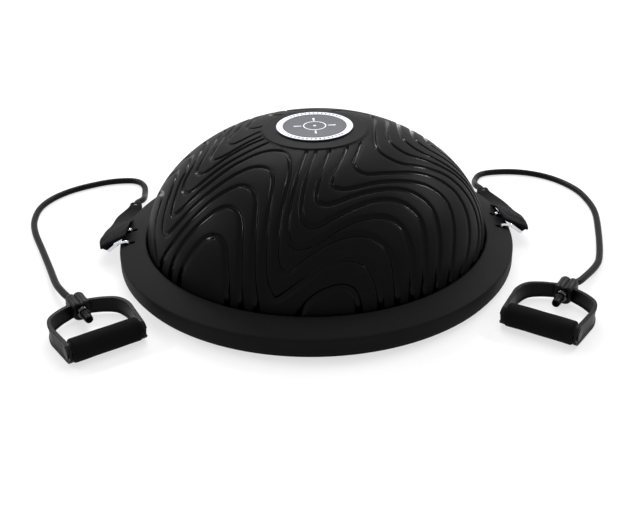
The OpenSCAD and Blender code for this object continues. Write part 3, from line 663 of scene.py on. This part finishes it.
FRONT_WAVES = [
    [(-332, 10), (-300, 20), (-280, 24), (-264, 18), (-254, -4), (-247, -24), (-252, -42), (-268, -70),
     (-279, -100), (-292, -140), (-300, -175)],
    [(-268, -208), (-240, -197), (-200, -183), (-172, -178), (-153, -186), (-145, -204), (-149, -230),
     (-157, -256), (-174, -289)],
    [(-285, -181), (-253, -173), (-211, -161), (-168, -150), (-142, -146), (-124, -154), (-116, -172),
     (-118, -198), (-128, -238), (-150, -304)],
    [(-300, -143), (-262, -146), (-231, -146), (-191, -137), (-148, -124), (-115, -120), (-97, -131),
     (-91, -151), (-95, -185),
     (-108, -242), (-117, -291), (-122, -314)],
    [(-64, -330), (-45, -317), (-28, -303), (-3, -292), (25, -288), (42, -298), (54, -332)],
    [(-12, -66), (-20, -90), (-35, -137), (-50, -194), (-51, -222), (-38, -234), (-10, -227), (40, -201),
     (82, -190), (108, -198),
     (125, -224), (136, -274), (146, -304)],
    [(0, -67), (-10, -100), (-25, -148), (-31, -185), (-26, -203), (-12, -208), (22, -192), (68, -169),
     (102, -161), (128, -169),
     (143, -188), (152, -232), (166, -300)],
    [(20, -64), (8, -100), (-5, -142), (-9, -165), (-2, -177), (15, -176), (61, -156), (106, -141),
     (136, -141), (160, -155),
     (173, -190), (180, -238), (194, -284)],
    [(44, -54), (33, -92), (17, -127), (14, -147), (25, -154), (43, -151), (88, -133), (134, -119),
     (164, -117), (188, -128),
     (200, -158), (206, -212), (220, -264)],
    [(62, -52), (52, -85), (46, -106), (52, -120), (66, -124), (100, -113), (145, -96), (185, -90),
     (212, -97), (232, -122),
     (241, -165), (240, -215), (246, -240)],
    [(18, 66), (35, 80), (58, 88), (78, 86), (91, 72), (93, 50), (88, 10), (83, -25), (82, -60),
     (92, -79), (115, -88), (146, -80),
     (193, -68), (226, -72), (252, -87), (268, -116), (272, -150), (272, -205)],
]


def wave_courses():
    """Every groove's course. The k-th arch behind the crown stands at the first arch + (k - 2) steps, and
    its arm, leg and wave are measured from there."""
    courses = list(FRONT_WAVES)
    for k in range(2, 17):
        own = LEFT_WAVES.get(k, []) + RIGHT_WAVES.get(k, [])
        arch = np.array(FIRST_ARCH) + (k - 2) * np.array(WAVE_STEP)
        shared = ARM if k > 3 else []
        shared = shared + (LEG[: k - 6] if k > 6 else []) + (WAVE if k > 9 else [])
        behind = [tuple(arch + p) for p in shared]
        courses.append(behind + own)
    return courses


def on_skin(plan, line, along):
    """Puts points of the flat plan on the skin: a point at the distance rho from the crown goes to the
    meridian's radius and height there. Returns the points and the skin's normals."""
    rho = np.maximum(np.hypot(plan[:, 0], plan[:, 1]), 1e-6)
    out = plan / rho[:, None]
    slope = np.gradient(line, along, axis=0)
    r, z = (np.interp(rho, along, line[:, k]) for k in (0, 1))
    n_r, n_z = -np.interp(rho, along, slope[:, 1]), np.interp(rho, along, slope[:, 0])
    points = np.concatenate([r[:, None] * out, z[:, None]], 1)
    return points, unit(np.concatenate([n_r[:, None] * out, n_z[:, None]], 1))


def nearest(points, others, chunk=400):
    """Distance from each point to the nearest of the others."""
    square = (others**2).sum(1)
    blocks = np.array_split(points, len(points) // chunk + 1)
    runs = [((p**2).sum(1)[:, None] + square - 2 * p @ others.T).min(1) for p in blocks]
    return np.sqrt(np.maximum(np.concatenate(runs), 0))


def grooved_skin(line, along, start, columns, sizes):
    """The dome's skin from the disc to below the lip, with its wave grooves. A point lies on the meridian's
    surface, less a depth along its normal: all of it within a third of the groove's half width w, and half
    of it times (1 + cos(pi (1.5 d / w - 0.5))) beyond, where d is the distance from the nearest course.
    Points stand in rows along each course and on a lattice elsewhere, and are joined by a Delaunay
    triangulation of the flat plan. The UV map's v is the share of the depth."""
    end = along[-1]
    rows, centres = [], []

    def half(rho):
        return np.interp(rho, [start, end], [sizes.groove_top_width / 2, sizes.groove_foot_width / 2])

    for course in wave_courses():
        plan = smooth(course, ROW_STEP) * MM
        rho = np.hypot(*plan.T)
        plan = plan[(rho > start - 4 * MM) & (rho < end + 4 * MM)]
        rho = np.hypot(*plan.T)[:, None]
        out = plan / rho
        round_ = np.stack([-out[:, 1], out[:, 0]], -1)
        squeeze = np.interp(rho[:, 0], along, line[:, 0])[:, None] / rho
        step = np.gradient(plan, axis=0)
        d_out, d_round = (step * out).sum(1, keepdims=True), (step * round_).sum(1, keepdims=True) * squeeze
        across = unit(np.concatenate([-d_round, d_out], 1))
        side = across[:, :1] * out + across[:, 1:] / squeeze * round_
        for w in ROW_SHARES:
            rows.append(np.concatenate([plan + w * half(rho) * side, abs(w) * half(rho)], 1))
        centres.append(smooth(course, MIDDLE_STEP) * MM)
    rows, centre = np.vstack(rows), on_skin(np.vstack(centres), line, along)[0]
    kept = np.abs(nearest(on_skin(rows[:, :2], line, along)[0], centre) - rows[:, 2]) < ROW_TOLERANCE
    rows = rows[kept, :2]
    gap = LATTICE_GAP * MM
    x, y = np.meshgrid(np.arange(-end, end, gap), np.arange(-end, end, gap * 0.866))
    x[::2] += gap / 2
    lattice = np.stack([x.ravel(), y.ravel()], -1)
    lattice = lattice[nearest(on_skin(lattice, line, along)[0], centre) > half(np.hypot(*lattice.T)) * 1.5]
    plan = np.vstack([rows, lattice])
    rho = np.hypot(*plan.T)
    plan = plan[(rho > start + 1.5 * MM) & (rho < end - 1.5 * MM)]
    plan = np.vstack([circle(start, columns), circle(end, columns), plan])
    made = delaunay_2d_cdt([Vector(p) for p in plan.tolist()], [], [], 0, 0.15 * MM, False)
    plan, faces = np.array([tuple(v) for v in made[0]]), np.array(made[2])
    rho = np.hypot(*plan.T)
    faces = faces[~(rho[faces] < start + 0.5 * MM).all(1)]
    points, normal = on_skin(plan, line, along)
    d = np.clip(1.5 * nearest(points, centre) / half(rho) - 0.5, 0, 1)
    fade = np.interp(rho, [start, start + 3 * MM, end - 6 * MM, end - 1 * MM], [0, 1, 1, 0])
    amount = (0.5 + 0.5 * np.cos(pi * d)) * fade
    points -= (sizes.groove_depth * amount)[:, None] * normal
    return points, faces, [], np.stack([np.zeros(faces.shape), amount[faces]], -1)


def crown_disc_height(r, crown_r, height):
    """Height of the raised disc on the crown: the skin's height at the disc's rim + 1.5 mm + 4.5 mm (1 - (r
    / rim)^2)."""
    rim = LIP_Z + dome_height_at(np.array(crown_r), DOME_R, height + CROWN_DROP)
    return rim + DISC_STEP + DISC_CROWN * (1 - (r / crown_r) ** 2)


def dome_shell(sizes, line, along, start, columns, inlet, inlet_r):
    """The bladder's plain parts: rows of circles, each with its own middle, radius and height. The first
    patch is the raised disc. The second runs from the dome's foot over the flange and the floor, which
    narrows to the inlet's hole, and back up 4 mm inside."""
    crown_r, height = sizes.crown_radius, sizes.dome_height
    rows = [(0, r, crown_disc_height(r, crown_r, height)) for r in np.linspace(0.02, 0.985, 14) * crown_r]
    top, base = rows[-1][2], np.interp(start, along, line[:, 1])
    rows += [(0, crown_r - 0.35 * MM, top - 0.12 * MM), (0, crown_r + 0.1 * MM, top - 0.6 * MM),
             (0, crown_r + 0.45 * MM, base + 0.5 * MM), (0, np.interp(start, along, line[:, 0]), base)]
    flange_top = FLOOR_Z + FLANGE_THICKNESS
    under = [(0, *line[-1]), (0, DOME_R, flange_top)]
    under += [(0, FLANGE_R - 1 * MM, flange_top), (0, FLANGE_R, flange_top - 1 * MM)]
    under += [(share, FLANGE_R + (inlet_r - FLANGE_R) * share, FLOOR_Z) for share in np.linspace(0, 1, 11)]
    inner_r = DOME_R - WALL
    back = np.linspace(1, 0, 10)
    under += [(share, inner_r + (inlet_r - inner_r) * share, FLOOR_Z + FLOOR_THICKNESS) for share in back]
    inner = inner_r * np.cos(np.linspace(0, pi / 2, 24)[:-1])
    ceiling = dome_height_at(inner, inner_r, height + CROWN_DROP - WALL)
    under += [(0, r, LIP_Z + z) for r, z in zip(inner, ceiling)]
    patches = []
    for run, cap in ((rows, 0), (under, -1)):
        shift, radius, z = np.array(run)[:, :, None].transpose(1, 0, 2)
        flat = shift[..., None] * np.array(inlet[:2]) + radius[..., None] * circle(1, columns)
        points = np.concatenate([flat, np.broadcast_to(z[..., None], (len(run), columns, 1))], -1)
        patches.append(patch(points, ring=True, caps=(cap,)))
    return patches


# ---- operators: camera and cords -----------------------------------------------------------

# Routes of the pull tubes from the strap plugs to the handles, and how each enters its handle, in millimetres
ROUTES = {
    "left": (
        [(-283, 142, 18), (-283, 152, 18), (-276, 173, 14), (-277, 205, 6.5), (-281, 242, 5),
         (-294, 264, 5), (-316, 271, 5),
         (-352, 266, 5), (-398, 243, 5), (-428, 213, 5), (-444, 176, 5), (-445, 130, 5), (-435, 86, 5),
         (-413, 27, 5.2),
         (-392, -30, 7), (-373, -84, 11.5)],
        [(-5, 150, -1.6), (-4, 128, -0.3), (-1, 112, 0), (0, 100, 0), (0, 80, 0)]),
    "right": (
        [(283, 142, 18), (283, 152, 18), (280, 173, 14), (286, 207, 6.5), (300, 233, 5), (323, 242, 5),
         (360, 241, 5),
         (395, 228, 5), (425, 202, 5), (446, 165, 5), (454, 127, 5), (453, 74, 5), (436, 4, 5),
         (414, -66, 5), (396, -102, 7)],
        [(8, 138, -3), (4, 123, -1), (1, 110, 0), (0, 100, 0), (0, 80, 0)]),
}


class TRAINER_OT_camera(bpy.types.Operator):
    """Adds the camera, in front of the trainer and a little above it"""

    bl_idname = "trainer.camera"
    bl_label = "Camera"

    def execute(self, context):
        azimuth, elevation, pan, roll = radians(-3.2), 0.438, 0.0149, radians(1.074)
        distance, target = 1.4146, Vector((0, 0, 0.1))
        up, level = sin(elevation), cos(elevation)
        aim = Matrix(((1, 0, 0), (0, up, -level), (0, level, up))).to_4x4()
        aim = Matrix.Rotation(azimuth, 4, "Z") @ aim
        place = Matrix.Translation(target + aim.col[2].xyz * distance) @ aim
        camera = bpy.data.objects.new("camera", bpy.data.cameras.new("camera"))
        camera.matrix_world = place @ Matrix.Rotation(-pan, 4, "Y") @ Matrix.Rotation(-roll, 4, "Z")
        camera.data.lens, camera.data.sensor_width = 53.9, 36.0
        camera.data.shift_x, camera.data.shift_y = -0.0135, -0.1017
        context.scene.collection.objects.link(camera)
        context.scene.camera = camera
        return {"FINISHED"}


class TRAINER_OT_tubes(bpy.types.Operator):
    """Adds both pull tubes, with the collar and the plugged end that hold each in its handle"""

    bl_idname = "trainer.tubes"
    bl_label = "Pull tubes"

    def execute(self, context):
        colours = context.scene.trainer_colours
        rubber, ferrule = latex_tube(colours), gloss_ferrule(colours)
        radius = context.scene.trainer_sizes.tube_diameter / 2
        for side, (route, entry) in ROUTES.items():
            place = handle_place(side)
            route = np.vstack([np.array(route) * MM, placed(np.array(entry) * MM, place)])
            path = smooth(route, 4 * MM)
            # The skin swells and thins by up to 1.2 % of its radius along the tube
            along = distance_along(path)
            ripple = 1 + 0.012 * np.sin(along * 70) * np.sin(along * 23 + 1)
            section = circle(radius, 20)[None] * ripple[:, None, None]
            around = np.linspace(0, 2 * pi * radius, 20)
            skin = patch(carried(path, section), ring=True, caps=(0, -1), u=along, v=around)
            tube = piece(f"pull_tube_{side}", [skin], rubber, "root", [f"tube_{side}"])
            collar = self.collar(side, place, ferrule)
            end = self.plugged_end(side, place, rubber)
        return {"FINISHED"}

    def collar(self, side, place, ferrule):
        """A rounded ring round the tube, turned from its profile."""
        profile = softened([(81, 5.05), (81, 7.9), (77.5, 8.4), (74.6, 7.4), (74.2, 5.05)], 1.2)
        along_tube = place @ Matrix.Rotation(radians(90), 4, "Z")
        ring = patch(turned(profile * MM, 48, along_tube), ring=True, loop=True)
        return piece(f"collar_{side}", [ring], ferrule, "root", [f"tube_collar_{side}"])

    def plugged_end(self, side, place, rubber):
        """The tube's end, stretched over a plug: a turned profile that necks in, bulges and opens in a
        small mouth."""
        profile = softened([
            (80, 0.3), (80, 4.95), (74.0, 4.95), (73.0, 5.0), (72.2, 5.9), (71.0, 6.4), (69.6, 5.6),
            (68.2, 6.3), (66.8, 5.6),
            (65.4, 6.1), (64, 5.5), (61.5, 5.9), (58, 5.6), (55.2, 5.3), (54.6, 4.6), (55.4, 3.7),
            (60.5, 3.4), (59, 2.2),
            (58.2, 0.3)], 0.6)
        along_tube = place @ Matrix.Rotation(radians(90), 4, "Z")
        mouth = patch(turned(profile * MM, 48, along_tube), ring=True, caps=(0, -1))
        return piece(f"tube_end_{side}", [mouth], rubber, "root", [f"tube_stopper_{side}"])


# ---- operators: dome and base --------------------------------------------------------------


class TRAINER_OT_dome(bpy.types.Operator):
    """Adds the inflated dome: its skin with the raised disc and the wave grooves"""

    bl_idname = "trainer.dome"
    bl_label = "Dome"

    def execute(self, context):
        sizes = context.scene.trainer_sizes
        vinyl = soft_vinyl(context.scene.trainer_colours)
        lo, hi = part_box("inlet_valve")
        inlet = (lo + hi) / 2
        line, along = dome_meridian(sizes.dome_height)
        start, columns = np.interp(sizes.crown_radius + 1.1 * MM, line[:, 0], along), 288
        skin = grooved_skin(line, along, start, columns, sizes)
        shell = dome_shell(sizes, line, along, start, columns, inlet, INLET_HOLE_R)
        piece("dome_skin", [skin, *shell], vinyl, "root", ["dome_bladder"], crease=50)
        return {"FINISHED"}


class TRAINER_OT_badge(bpy.types.Operator):
    """Adds the printed badge on the crown"""

    bl_idname = "trainer.badge"
    bl_label = "Badge"

    def execute(self, context):
        top, lower = BADGE_Z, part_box("top_badge")[0].z
        sunk = top - 0.35 * MM
        groove = [
            (0.2 * MM, top), (0.805 * BADGE_R, top), (0.81 * BADGE_R, sunk), (0.825 * BADGE_R, sunk),
            (0.83 * BADGE_R, top), (BADGE_R, top), (BADGE_R, lower), (0.2 * MM, lower)]
        profile = softened(groove, 0.25 * MM)[:, ::-1]
        upright = Matrix.Rotation(radians(-90), 4, "Y")
        disc = patch(turned(profile, 144, upright), ring=True, caps=(0, -1))
        finish = badge_print(context.scene.trainer_colours)
        piece("badge_disc", [disc], finish, "root", ["top_badge"], crease=60)
        return {"FINISHED"}


class TRAINER_OT_base(bpy.types.Operator):
    """Finishes the cover ring, the platform, its pads and screws, and the air inlet"""

    bl_idname = "trainer.base"
    bl_label = "Base"

    def execute(self, context):
        colours = context.scene.trainer_colours
        plastic, pad, steel = base_plastic(colours), pad_rubber(colours), screw_steel(colours)
        refined("cover_ring", plastic, crease=38)
        refined("platform", plastic, crease=38)
        refined("anti_slip_pads", pad, bevel=0.3 * MM)
        refined("platform_screws", steel)
        for node in ("inlet_valve", "inlet_plug"):
            refined(node, pad, bevel=0.25 * MM)
        for side in SIDES:
            refined(f"ring_retainer_{side}", plastic, bevel=0.3 * MM)
        refined("retainer_screws", steel)
        return {"FINISHED"}


# ---- operators: rings and straps -----------------------------------------------------------


class TRAINER_OT_rings(bpy.types.Operator):
    """Finishes the chrome wire rings"""

    bl_idname = "trainer.rings"
    bl_label = "Wire rings"

    def execute(self, context):
        chrome = chrome_plate(context.scene.trainer_colours)
        for side in SIDES:
            refined(f"d_ring_{side}", chrome, crease=50)
        return {"FINISHED"}


# Stations of each strap, millimetres: x and y of the outer edge, of the inner edge, the heights of both and
# the thickness. The loop goes round the wire ring's outer bar. The drape hangs over the ring's legs,
# follows the brim and ends in a sleeve sewn round the plug. The right strap mirrors the left one.
LOOP = [
    (-302.4, -12, -302.4, 12, 23.5, 23.5, 3), (-303.6, -12.2, -303.6, 12.2, 23.5, 23.5, 7.6),
    (-307, -12.4, -307, 12.3, 23.5, 23.5, 9.6), (-311.5, -12, -311, 11.5, 24, 25.5, 8),
    (-317, -11, -316, 9, 25, 28, 4)]
DRAPE = [
    (-318, -14.5, -283.5, -12, 25, 41, 2.4), (-319.4, -13, -282, -10.5, 26, 43, 5),
    (-320.6, -4, -280.4, 0, 27, 44.6, 5.2),
    (-322.4, 10, -279.4, 15, 26.4, 45, 5), (-321, 30, -279, 34, 24, 42, 4.8),
    (-317.5, 53, -278.6, 53, 21, 35, 4.4),
    (-313, 76, -277.6, 74, 18.8, 27, 4.2), (-308.5, 101, -276, 95, 18, 20.4, 4.4),
    (-300.5, 119, -274.5, 114, 18, 18, 7),
    (-294, 128, -273, 126, 18, 18, 13), (-292.2, 137.5, -273.8, 137, 18, 18, 16.6)]


def strap_skin(stations, mirror, seed, fold):
    """A strap lofted through its stations: each is a flat oval, |x|^5 + |y|^5 = 1 across and upward, between
    an outer and an inner edge with a height of their own. Two slow waves rumple it, deepest near the wire
    ring, where the webbing is gathered. Its outer half wavers by a share of the fold, and a shallow seam
    runs along each edge."""
    s = smooth(np.array(stations) * (mirror, 1, mirror, 1, 1, 1, 1), 2.5) * MM
    outer, inner = s[:, [0, 1, 4]], s[:, [2, 3, 5]]
    middle, half = (outer + inner) / 2, (outer - inner) / 2
    along = distance_along(middle)
    a = np.linspace(0, 2 * pi, 56, endpoint=False)
    across = np.sign(np.cos(a)) * np.abs(np.cos(a)) ** 0.4
    upward = np.sign(np.sin(a)) * np.abs(np.sin(a)) ** 0.4
    gather = np.exp(-((along - 22 * MM) / (34 * MM)) ** 2)[:, None]
    marks = [0, 7 * MM, 14 * MM, along[-1] - 20 * MM, along[-1]]
    ends = np.interp(along, marks, [0, 0.2, 1, 0.6, 0])[:, None]
    lines = np.sin(across[None, :] * (7 + seed) + along[:, None] * 60 + seed)
    folds = np.sin(along[:, None] * 190 + across[None, :] * 2.2 + seed * 2)
    rumple = (0.25 + 0.75 * gather) * (0.55 * lines + 0.45 * folds) * fold * ends
    waver = 1 + 0.05 * fold / MM * ends * np.sin(along * 130 + seed * 1.7)[:, None] * (across > 0)
    seam = 0.22 * MM * (np.exp(-((np.abs(across) - 0.84) / 0.05) ** 2))[None, :] * np.abs(upward)[None, :]
    z = (s[:, 6:7] / 2 - seam) * upward[None, :] + rumple
    points = middle[:, None] + (waver * across)[..., None] * half[:, None]
    points[..., 2] += z
    width = distance_along(np.stack([across * 12 * MM, upward * 2 * MM], -1))
    return patch(points, ring=True, caps=(0, -1), u=along, v=width)


class TRAINER_OT_straps(bpy.types.Operator):
    """Adds the webbing straps that join the wire rings to the tubes, and finishes their plugs"""

    bl_idname = "trainer.straps"
    bl_label = "Straps"

    def execute(self, context):
        colours = context.scene.trainer_colours
        webbing = woven_webbing(colours, context.scene.trainer_sizes.thread_pitch)
        ferrule = gloss_ferrule(colours)
        for seed, (side, way) in enumerate(SIDES.items()):
            skins = [strap_skin(run, -way, seed, (0.7 + 0.5 * seed) * MM) for run in (LOOP, DRAPE)]
            stands_for = [f"strap_loop_{side}", f"strap_tail_{side}"]
            strap = piece(f"webbing_strap_{side}", skins, webbing, None, stands_for, crease=70)
            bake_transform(strap)
            refined(f"strap_plug_{side}", ferrule, bevel=0.3 * MM)
        return {"FINISHED"}


# ---- operators: handles --------------------------------------------------------------------


# Half of the band's middle line from its front end to the boss, in the handle's own plane, millimetres
BAND = [(49, -12), (49, -6), (49, 0), (51.5, 30), (52.5, 52), (46, 72), (31, 84), (12, 92)]
# The band's section: distance outward, share of the height, and millimetres above that
BAND_SECTION = [
    (0, 0, 0), (2.75, 0, 0), (2.75, 0, 2.6), (1.5, 0, 2.9), (1.5, 1, -2.9), (2.75, 1, -2.6), (2.75, 1, 0),
    (-2.75, 1, 0), (-2.75, 1, -2.6), (-1.5, 1, -2.9), (-1.5, 0, 2.9), (-2.75, 0, 2.6), (-2.75, 0, 0),
    (0, 0, 0)]
# The boss round the tube: distance along the tube, and share of its outline. Rows with no share are the bore.
BOSS = [
    (113, 0), (113, 0.78), (111.6, 0.92), (108.5, 1), (99, 0.98), (90, 1), (83.5, 0.98), (81, 0.93),
    (80, 0.86), (80, 0)]
BORE_R = 5.4
# The band's lower and upper edge at distances along the tube, and the radius that its front ends are
# rounded to
BAND_AT, BAND_LOW, BAND_HIGH, END_R = (0, 60, 92), (-15, -14, -12), (12, 10.5, 8.5), 13.5
# The boss's half width, its heights above and below the tube, and its two humps' place and radius
BOSS_HALF, BOSS_ABOVE, BOSS_BELOW = 13, 8, 14
HUMP_X, HUMP_Z, HUMP_R = 5.6, 6.0, 7.2


def band_skin():
    """The moulded band, carried round its middle line, with a rim along both edges. Its front ends are
    rounded about the grip: both heights are shrunk by the square root of 1 - (y / 13.5)^2."""
    line = smooth(BAND, 1.5)
    line = np.vstack([line, line[::-1] * (-1, 1)])
    path = np.concatenate([line, np.zeros((len(line), 1))], 1)
    y = line[:, 1:]
    low = np.interp(y, BAND_AT, BAND_LOW)
    high = np.interp(y, BAND_AT, BAND_HIGH)
    round_ = np.sqrt(1 - np.clip(-y / END_R, 0, 1) ** 2)
    out, share, above = np.array(softened(BAND_SECTION, 0.55, 3))[:-1].T
    height = (low + share * (high - low) + above) * round_
    section = np.stack([np.broadcast_to(out, height.shape), height], -1)
    return carried(path, section) * MM


def boss_skin():
    """The boss at the band's back: its outline's radius at the angle a is the larger of the superellipse
    (|cos a / w|^3 + |sin a / b|^3)^(-1/3), with w its half width and b its height above or below, and the
    far side of two round humps."""
    a = np.linspace(0, 2 * pi, 96, endpoint=False)
    ray = np.stack([np.cos(a), np.sin(a)], -1)
    tall = np.where(ray[:, 1] > 0, BOSS_ABOVE, BOSS_BELOW)
    outline = (np.abs(ray[:, 0] / BOSS_HALF) ** 3 + np.abs(ray[:, 1] / tall) ** 3) ** (-1 / 3)
    for x in (-HUMP_X, HUMP_X):
        ahead = ray @ (x, HUMP_Z)
        inside = HUMP_R**2 - (x**2 + HUMP_Z**2 - ahead**2)
        far_side = ahead + np.sqrt(np.maximum(inside, 0))
        outline = np.maximum(outline, np.where((inside > 0) & (ahead > 0), far_side, 0))
    radii = [(y, outline[:, None] * share if share else BORE_R) for y, share in BOSS]
    return np.array([np.insert(ray * radius, 1, y, axis=1) for y, radius in radii]) * MM


class TRAINER_OT_handles(bpy.types.Operator):
    """Adds the moulded handle bands with their bosses and the end caps, and finishes the cores"""

    bl_idname = "trainer.handles"
    bl_label = "Handles"

    def execute(self, context):
        nylon = handle_nylon(context.scene.trainer_colours)
        cap = [(44, 0.2), (44, 6), (50, 6), (50.6, 8.8), (51.6, 9.1), (52.4, 8.2), (52.4, 0.2)]
        cap = softened(cap, 0.3) * MM
        for side in SIDES:
            place = handle_place(side)
            skins = [patch(placed(band_skin(), place), ring=True, caps=(0, -1)),
                     patch(placed(boss_skin(), place), ring=True, loop=True)]
            handle, stirrup = f"handle_{side}", f"stirrup_{side}"
            piece(f"handle_band_{side}", skins, nylon, handle, [stirrup], crease=35)
            ends = [patch(turned(cap * (way, 1), 48, place), ring=True, caps=(0, -1)) for way in (-1, 1)]
            body = frame["nodes"][f"grip_caps_{side}"]["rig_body"]
            piece(f"end_caps_{side}", ends, nylon, body, [f"grip_caps_{side}"], crease=35)
            refined(f"grip_core_{side}", nylon, bevel=0.25 * MM)
        return {"FINISHED"}


class TRAINER_OT_grips(bpy.types.Operator):
    """Adds the foam grips"""

    bl_idname = "trainer.grips"
    bl_label = "Foam grips"

    def execute(self, context):
        foam = grip_foam(context.scene.trainer_colours)
        half, radius, bore = 45 * MM, 16 * MM, 10.05 * MM
        for seed, side in enumerate(SIDES):
            profile = softened([(-half, bore), (-half, radius), (half, radius), (half, bore)], 3.4 * MM, 8)
            rows = np.linspace(-half + 4 * MM, half - 4 * MM, 40)
            body = np.stack([rows, np.full(40, radius)], -1)
            profile = np.vstack([profile[:10], body, profile[10:]])
            points = turned(profile, 72, Matrix.Identity(4))
            # The foam is a little uneven: its outside lies up to half a millimetre inside the radius, in
            # slow waves
            angle = np.arctan2(points[..., 2], points[..., 1])
            x = points[..., 0]
            waver = 0.25 * MM * np.sin(x * 95 + 2 * angle + seed) * np.sin(x * 41 + angle * 3)
            outside = np.hypot(points[..., 1], points[..., 2]) > bore + 1 * MM
            shrink = 1 + np.where(outside, (waver - 0.25 * MM) / radius, 0)
            points[..., 1:] *= shrink[..., None]
            skin = patch(placed(points, handle_place(side)), ring=True, loop=True)
            grip, sleeve = f"grip_{side}", f"foam_grip_{side}"
            piece(f"foam_sleeve_{side}", [skin], foam, grip, [sleeve], crease=50)
        return {"FINISHED"}


# ---- operators: stage ----------------------------------------------------------------------

WHITE = (1.0, 1.0, 1.0, 1.0)
PAPER = (0.93, 0.93, 0.93, 1.0)
# Strength of the surroundings as light; the camera and reflections see them at full strength
AMBIENT = 0.25
# The floor, in metres: half its width, and how far it lies below zero so that no pad shares its plane
FLOOR_HALF, FLOOR_HEIGHT = 12.0, -0.0005
GLOW_SHARE, GLOW_STRENGTH = 0.62, 1.08
# Lamps: name, place, target, width and height in metres, watts, and whether glossy surfaces mirror them
LAMPS = [
    ("overhead_softbox", (0.25, 0.4, 2.1), (0.0, 0.0, 0.0), (2.0, 1.6), 26.0, False),
    ("back_strip", (-0.2, 1.5, 1.5), (0.0, 0.0, 0.1), (1.6, 0.06), 26.0, True),
    ("left_strip", (-1.7, 0.5, 1.1), (0.0, 0.0, 0.1), (1.0, 0.06), 15.0, True),
    ("right_strip", (1.6, 0.7, 1.2), (0.0, 0.0, 0.1), (1.0, 0.06), 16.0, True),
]


def seen_or_mirrored(tree):
    """1 for camera, glossy and transmission rays, else 0."""
    rays = add_node(tree, "LightPath")
    seen = rays.outputs["Is Camera Ray"]
    for kind in ("Is Glossy Ray", "Is Transmission Ray"):
        seen = add_node(tree, "Math", {0: seen, 1: rays.outputs[kind]}, operation="MAXIMUM").outputs[0]
    return seen


class TRAINER_OT_stage(bpy.types.Operator):
    """Adds the pale floor, the soft lamps and the white surroundings"""

    bl_idname = "trainer.stage"
    bl_label = "Stage and lamps"

    def execute(self, context):
        self.surroundings(context.scene)
        self.floor(context.scene)
        for name, place, target, size, power, mirrored in LAMPS:
            self.lamp(context.scene, name, place, target, size, power, mirrored)
        return {"FINISHED"}

    def surroundings(self, scene):
        """Pale ambient light, which shows as plain white to the camera and in reflections."""
        world = bpy.data.worlds.new("surroundings")
        scene.world = world
        world.use_nodes = True
        tree = world.node_tree
        tree.nodes.clear()
        seen = seen_or_mirrored(tree)
        strength = add_node(tree, "MapRange", {"Value": seen, "To Min": AMBIENT, "To Max": 1.0})
        light = add_node(tree, "Background", {"Color": WHITE, "Strength": strength.outputs["Result"]})
        out = add_node(tree, "OutputWorld")
        tree.links.new(light.outputs[0], out.inputs["Surface"])

    def floor(self, scene):
        """A wide pale floor. A share of plain white, seen by the camera and in reflections, keeps it bright
        and its shadows soft."""
        mesh = bpy.data.meshes.new("floor")
        signs = ((-1, -1), (1, -1), (1, 1), (-1, 1))
        corners = [(x * FLOOR_HALF, y * FLOOR_HALF, FLOOR_HEIGHT) for x, y in signs]
        mesh.from_pydata(corners, [], [(0, 1, 2, 3)])
        floor = bpy.data.objects.new("floor", mesh)
        scene.collection.objects.link(floor)
        material = bpy.data.materials.new("floor_paper_matt")
        material.use_nodes = True
        tree = material.node_tree
        tree.nodes.clear()
        share = add_node(tree, "Math", {0: seen_or_mirrored(tree), 1: GLOW_SHARE}, operation="MULTIPLY")
        paper = add_node(tree, "BsdfDiffuse", {"Color": PAPER})
        glow = add_node(tree, "Emission", {"Color": WHITE, "Strength": GLOW_STRENGTH})
        both = add_node(tree, "MixShader", {0: share.outputs[0], 1: paper.outputs[0], 2: glow.outputs[0]})
        out = add_node(tree, "OutputMaterial")
        tree.links.new(both.outputs[0], out.inputs["Surface"])
        mesh.materials.append(material)

    def lamp(self, scene, name, place, target, size, power, mirrored):
        """A soft lamp of a width and a height at a place, facing a target."""
        light = bpy.data.lights.new(name, "AREA")
        light.shape, light.size, light.size_y, light.energy = "RECTANGLE", *size, power
        lamp = bpy.data.objects.new(name, light)
        lamp.location = place
        lamp.rotation_euler = (Vector(target) - Vector(place)).to_track_quat("-Z", "Y").to_euler()
        lamp.visible_glossy = mirrored
        scene.collection.objects.link(lamp)


class TRAINER_PT_sidebar(bpy.types.Panel):
    """Lists the trainer's pieces, sizes and colours"""

    bl_idname = "TRAINER_PT_sidebar"
    bl_label = "Balance dome trainer"
    bl_space_type = "VIEW_3D"
    bl_region_type = "UI"
    bl_category = "Trainer"

    def draw(self, context):
        for group in (context.scene.trainer_sizes, context.scene.trainer_colours):
            box = self.layout.box()
            for name in group.__annotations__:
                box.prop(group, name)
        for step in STEPS:
            self.layout.operator(step.bl_idname)


STEPS = (
    TRAINER_OT_camera, TRAINER_OT_tubes, TRAINER_OT_dome, TRAINER_OT_badge, TRAINER_OT_base, TRAINER_OT_rings,
    TRAINER_OT_straps, TRAINER_OT_handles, TRAINER_OT_grips, TRAINER_OT_stage,
)
CLASSES = (TrainerSizes, TrainerColours) + STEPS + (TRAINER_PT_sidebar,)


def register():
    for cls in CLASSES:
        bpy.utils.register_class(cls)
    bpy.types.Scene.trainer_sizes = bpy.props.PointerProperty(type=TrainerSizes)
    bpy.types.Scene.trainer_colours = bpy.props.PointerProperty(type=TrainerColours)


def unregister():
    del bpy.types.Scene.trainer_sizes, bpy.types.Scene.trainer_colours
    for cls in reversed(CLASSES):
        bpy.utils.unregister_class(cls)


def main():
    """Registers the classes and builds every piece in order, in metres."""
    register()
    bpy.context.scene.view_settings.view_transform = "Standard"
    for step in STEPS:
        group, name = step.bl_idname.split(".")
        getattr(getattr(bpy.ops, group), name)()


if __name__ == "__main__":
    main()
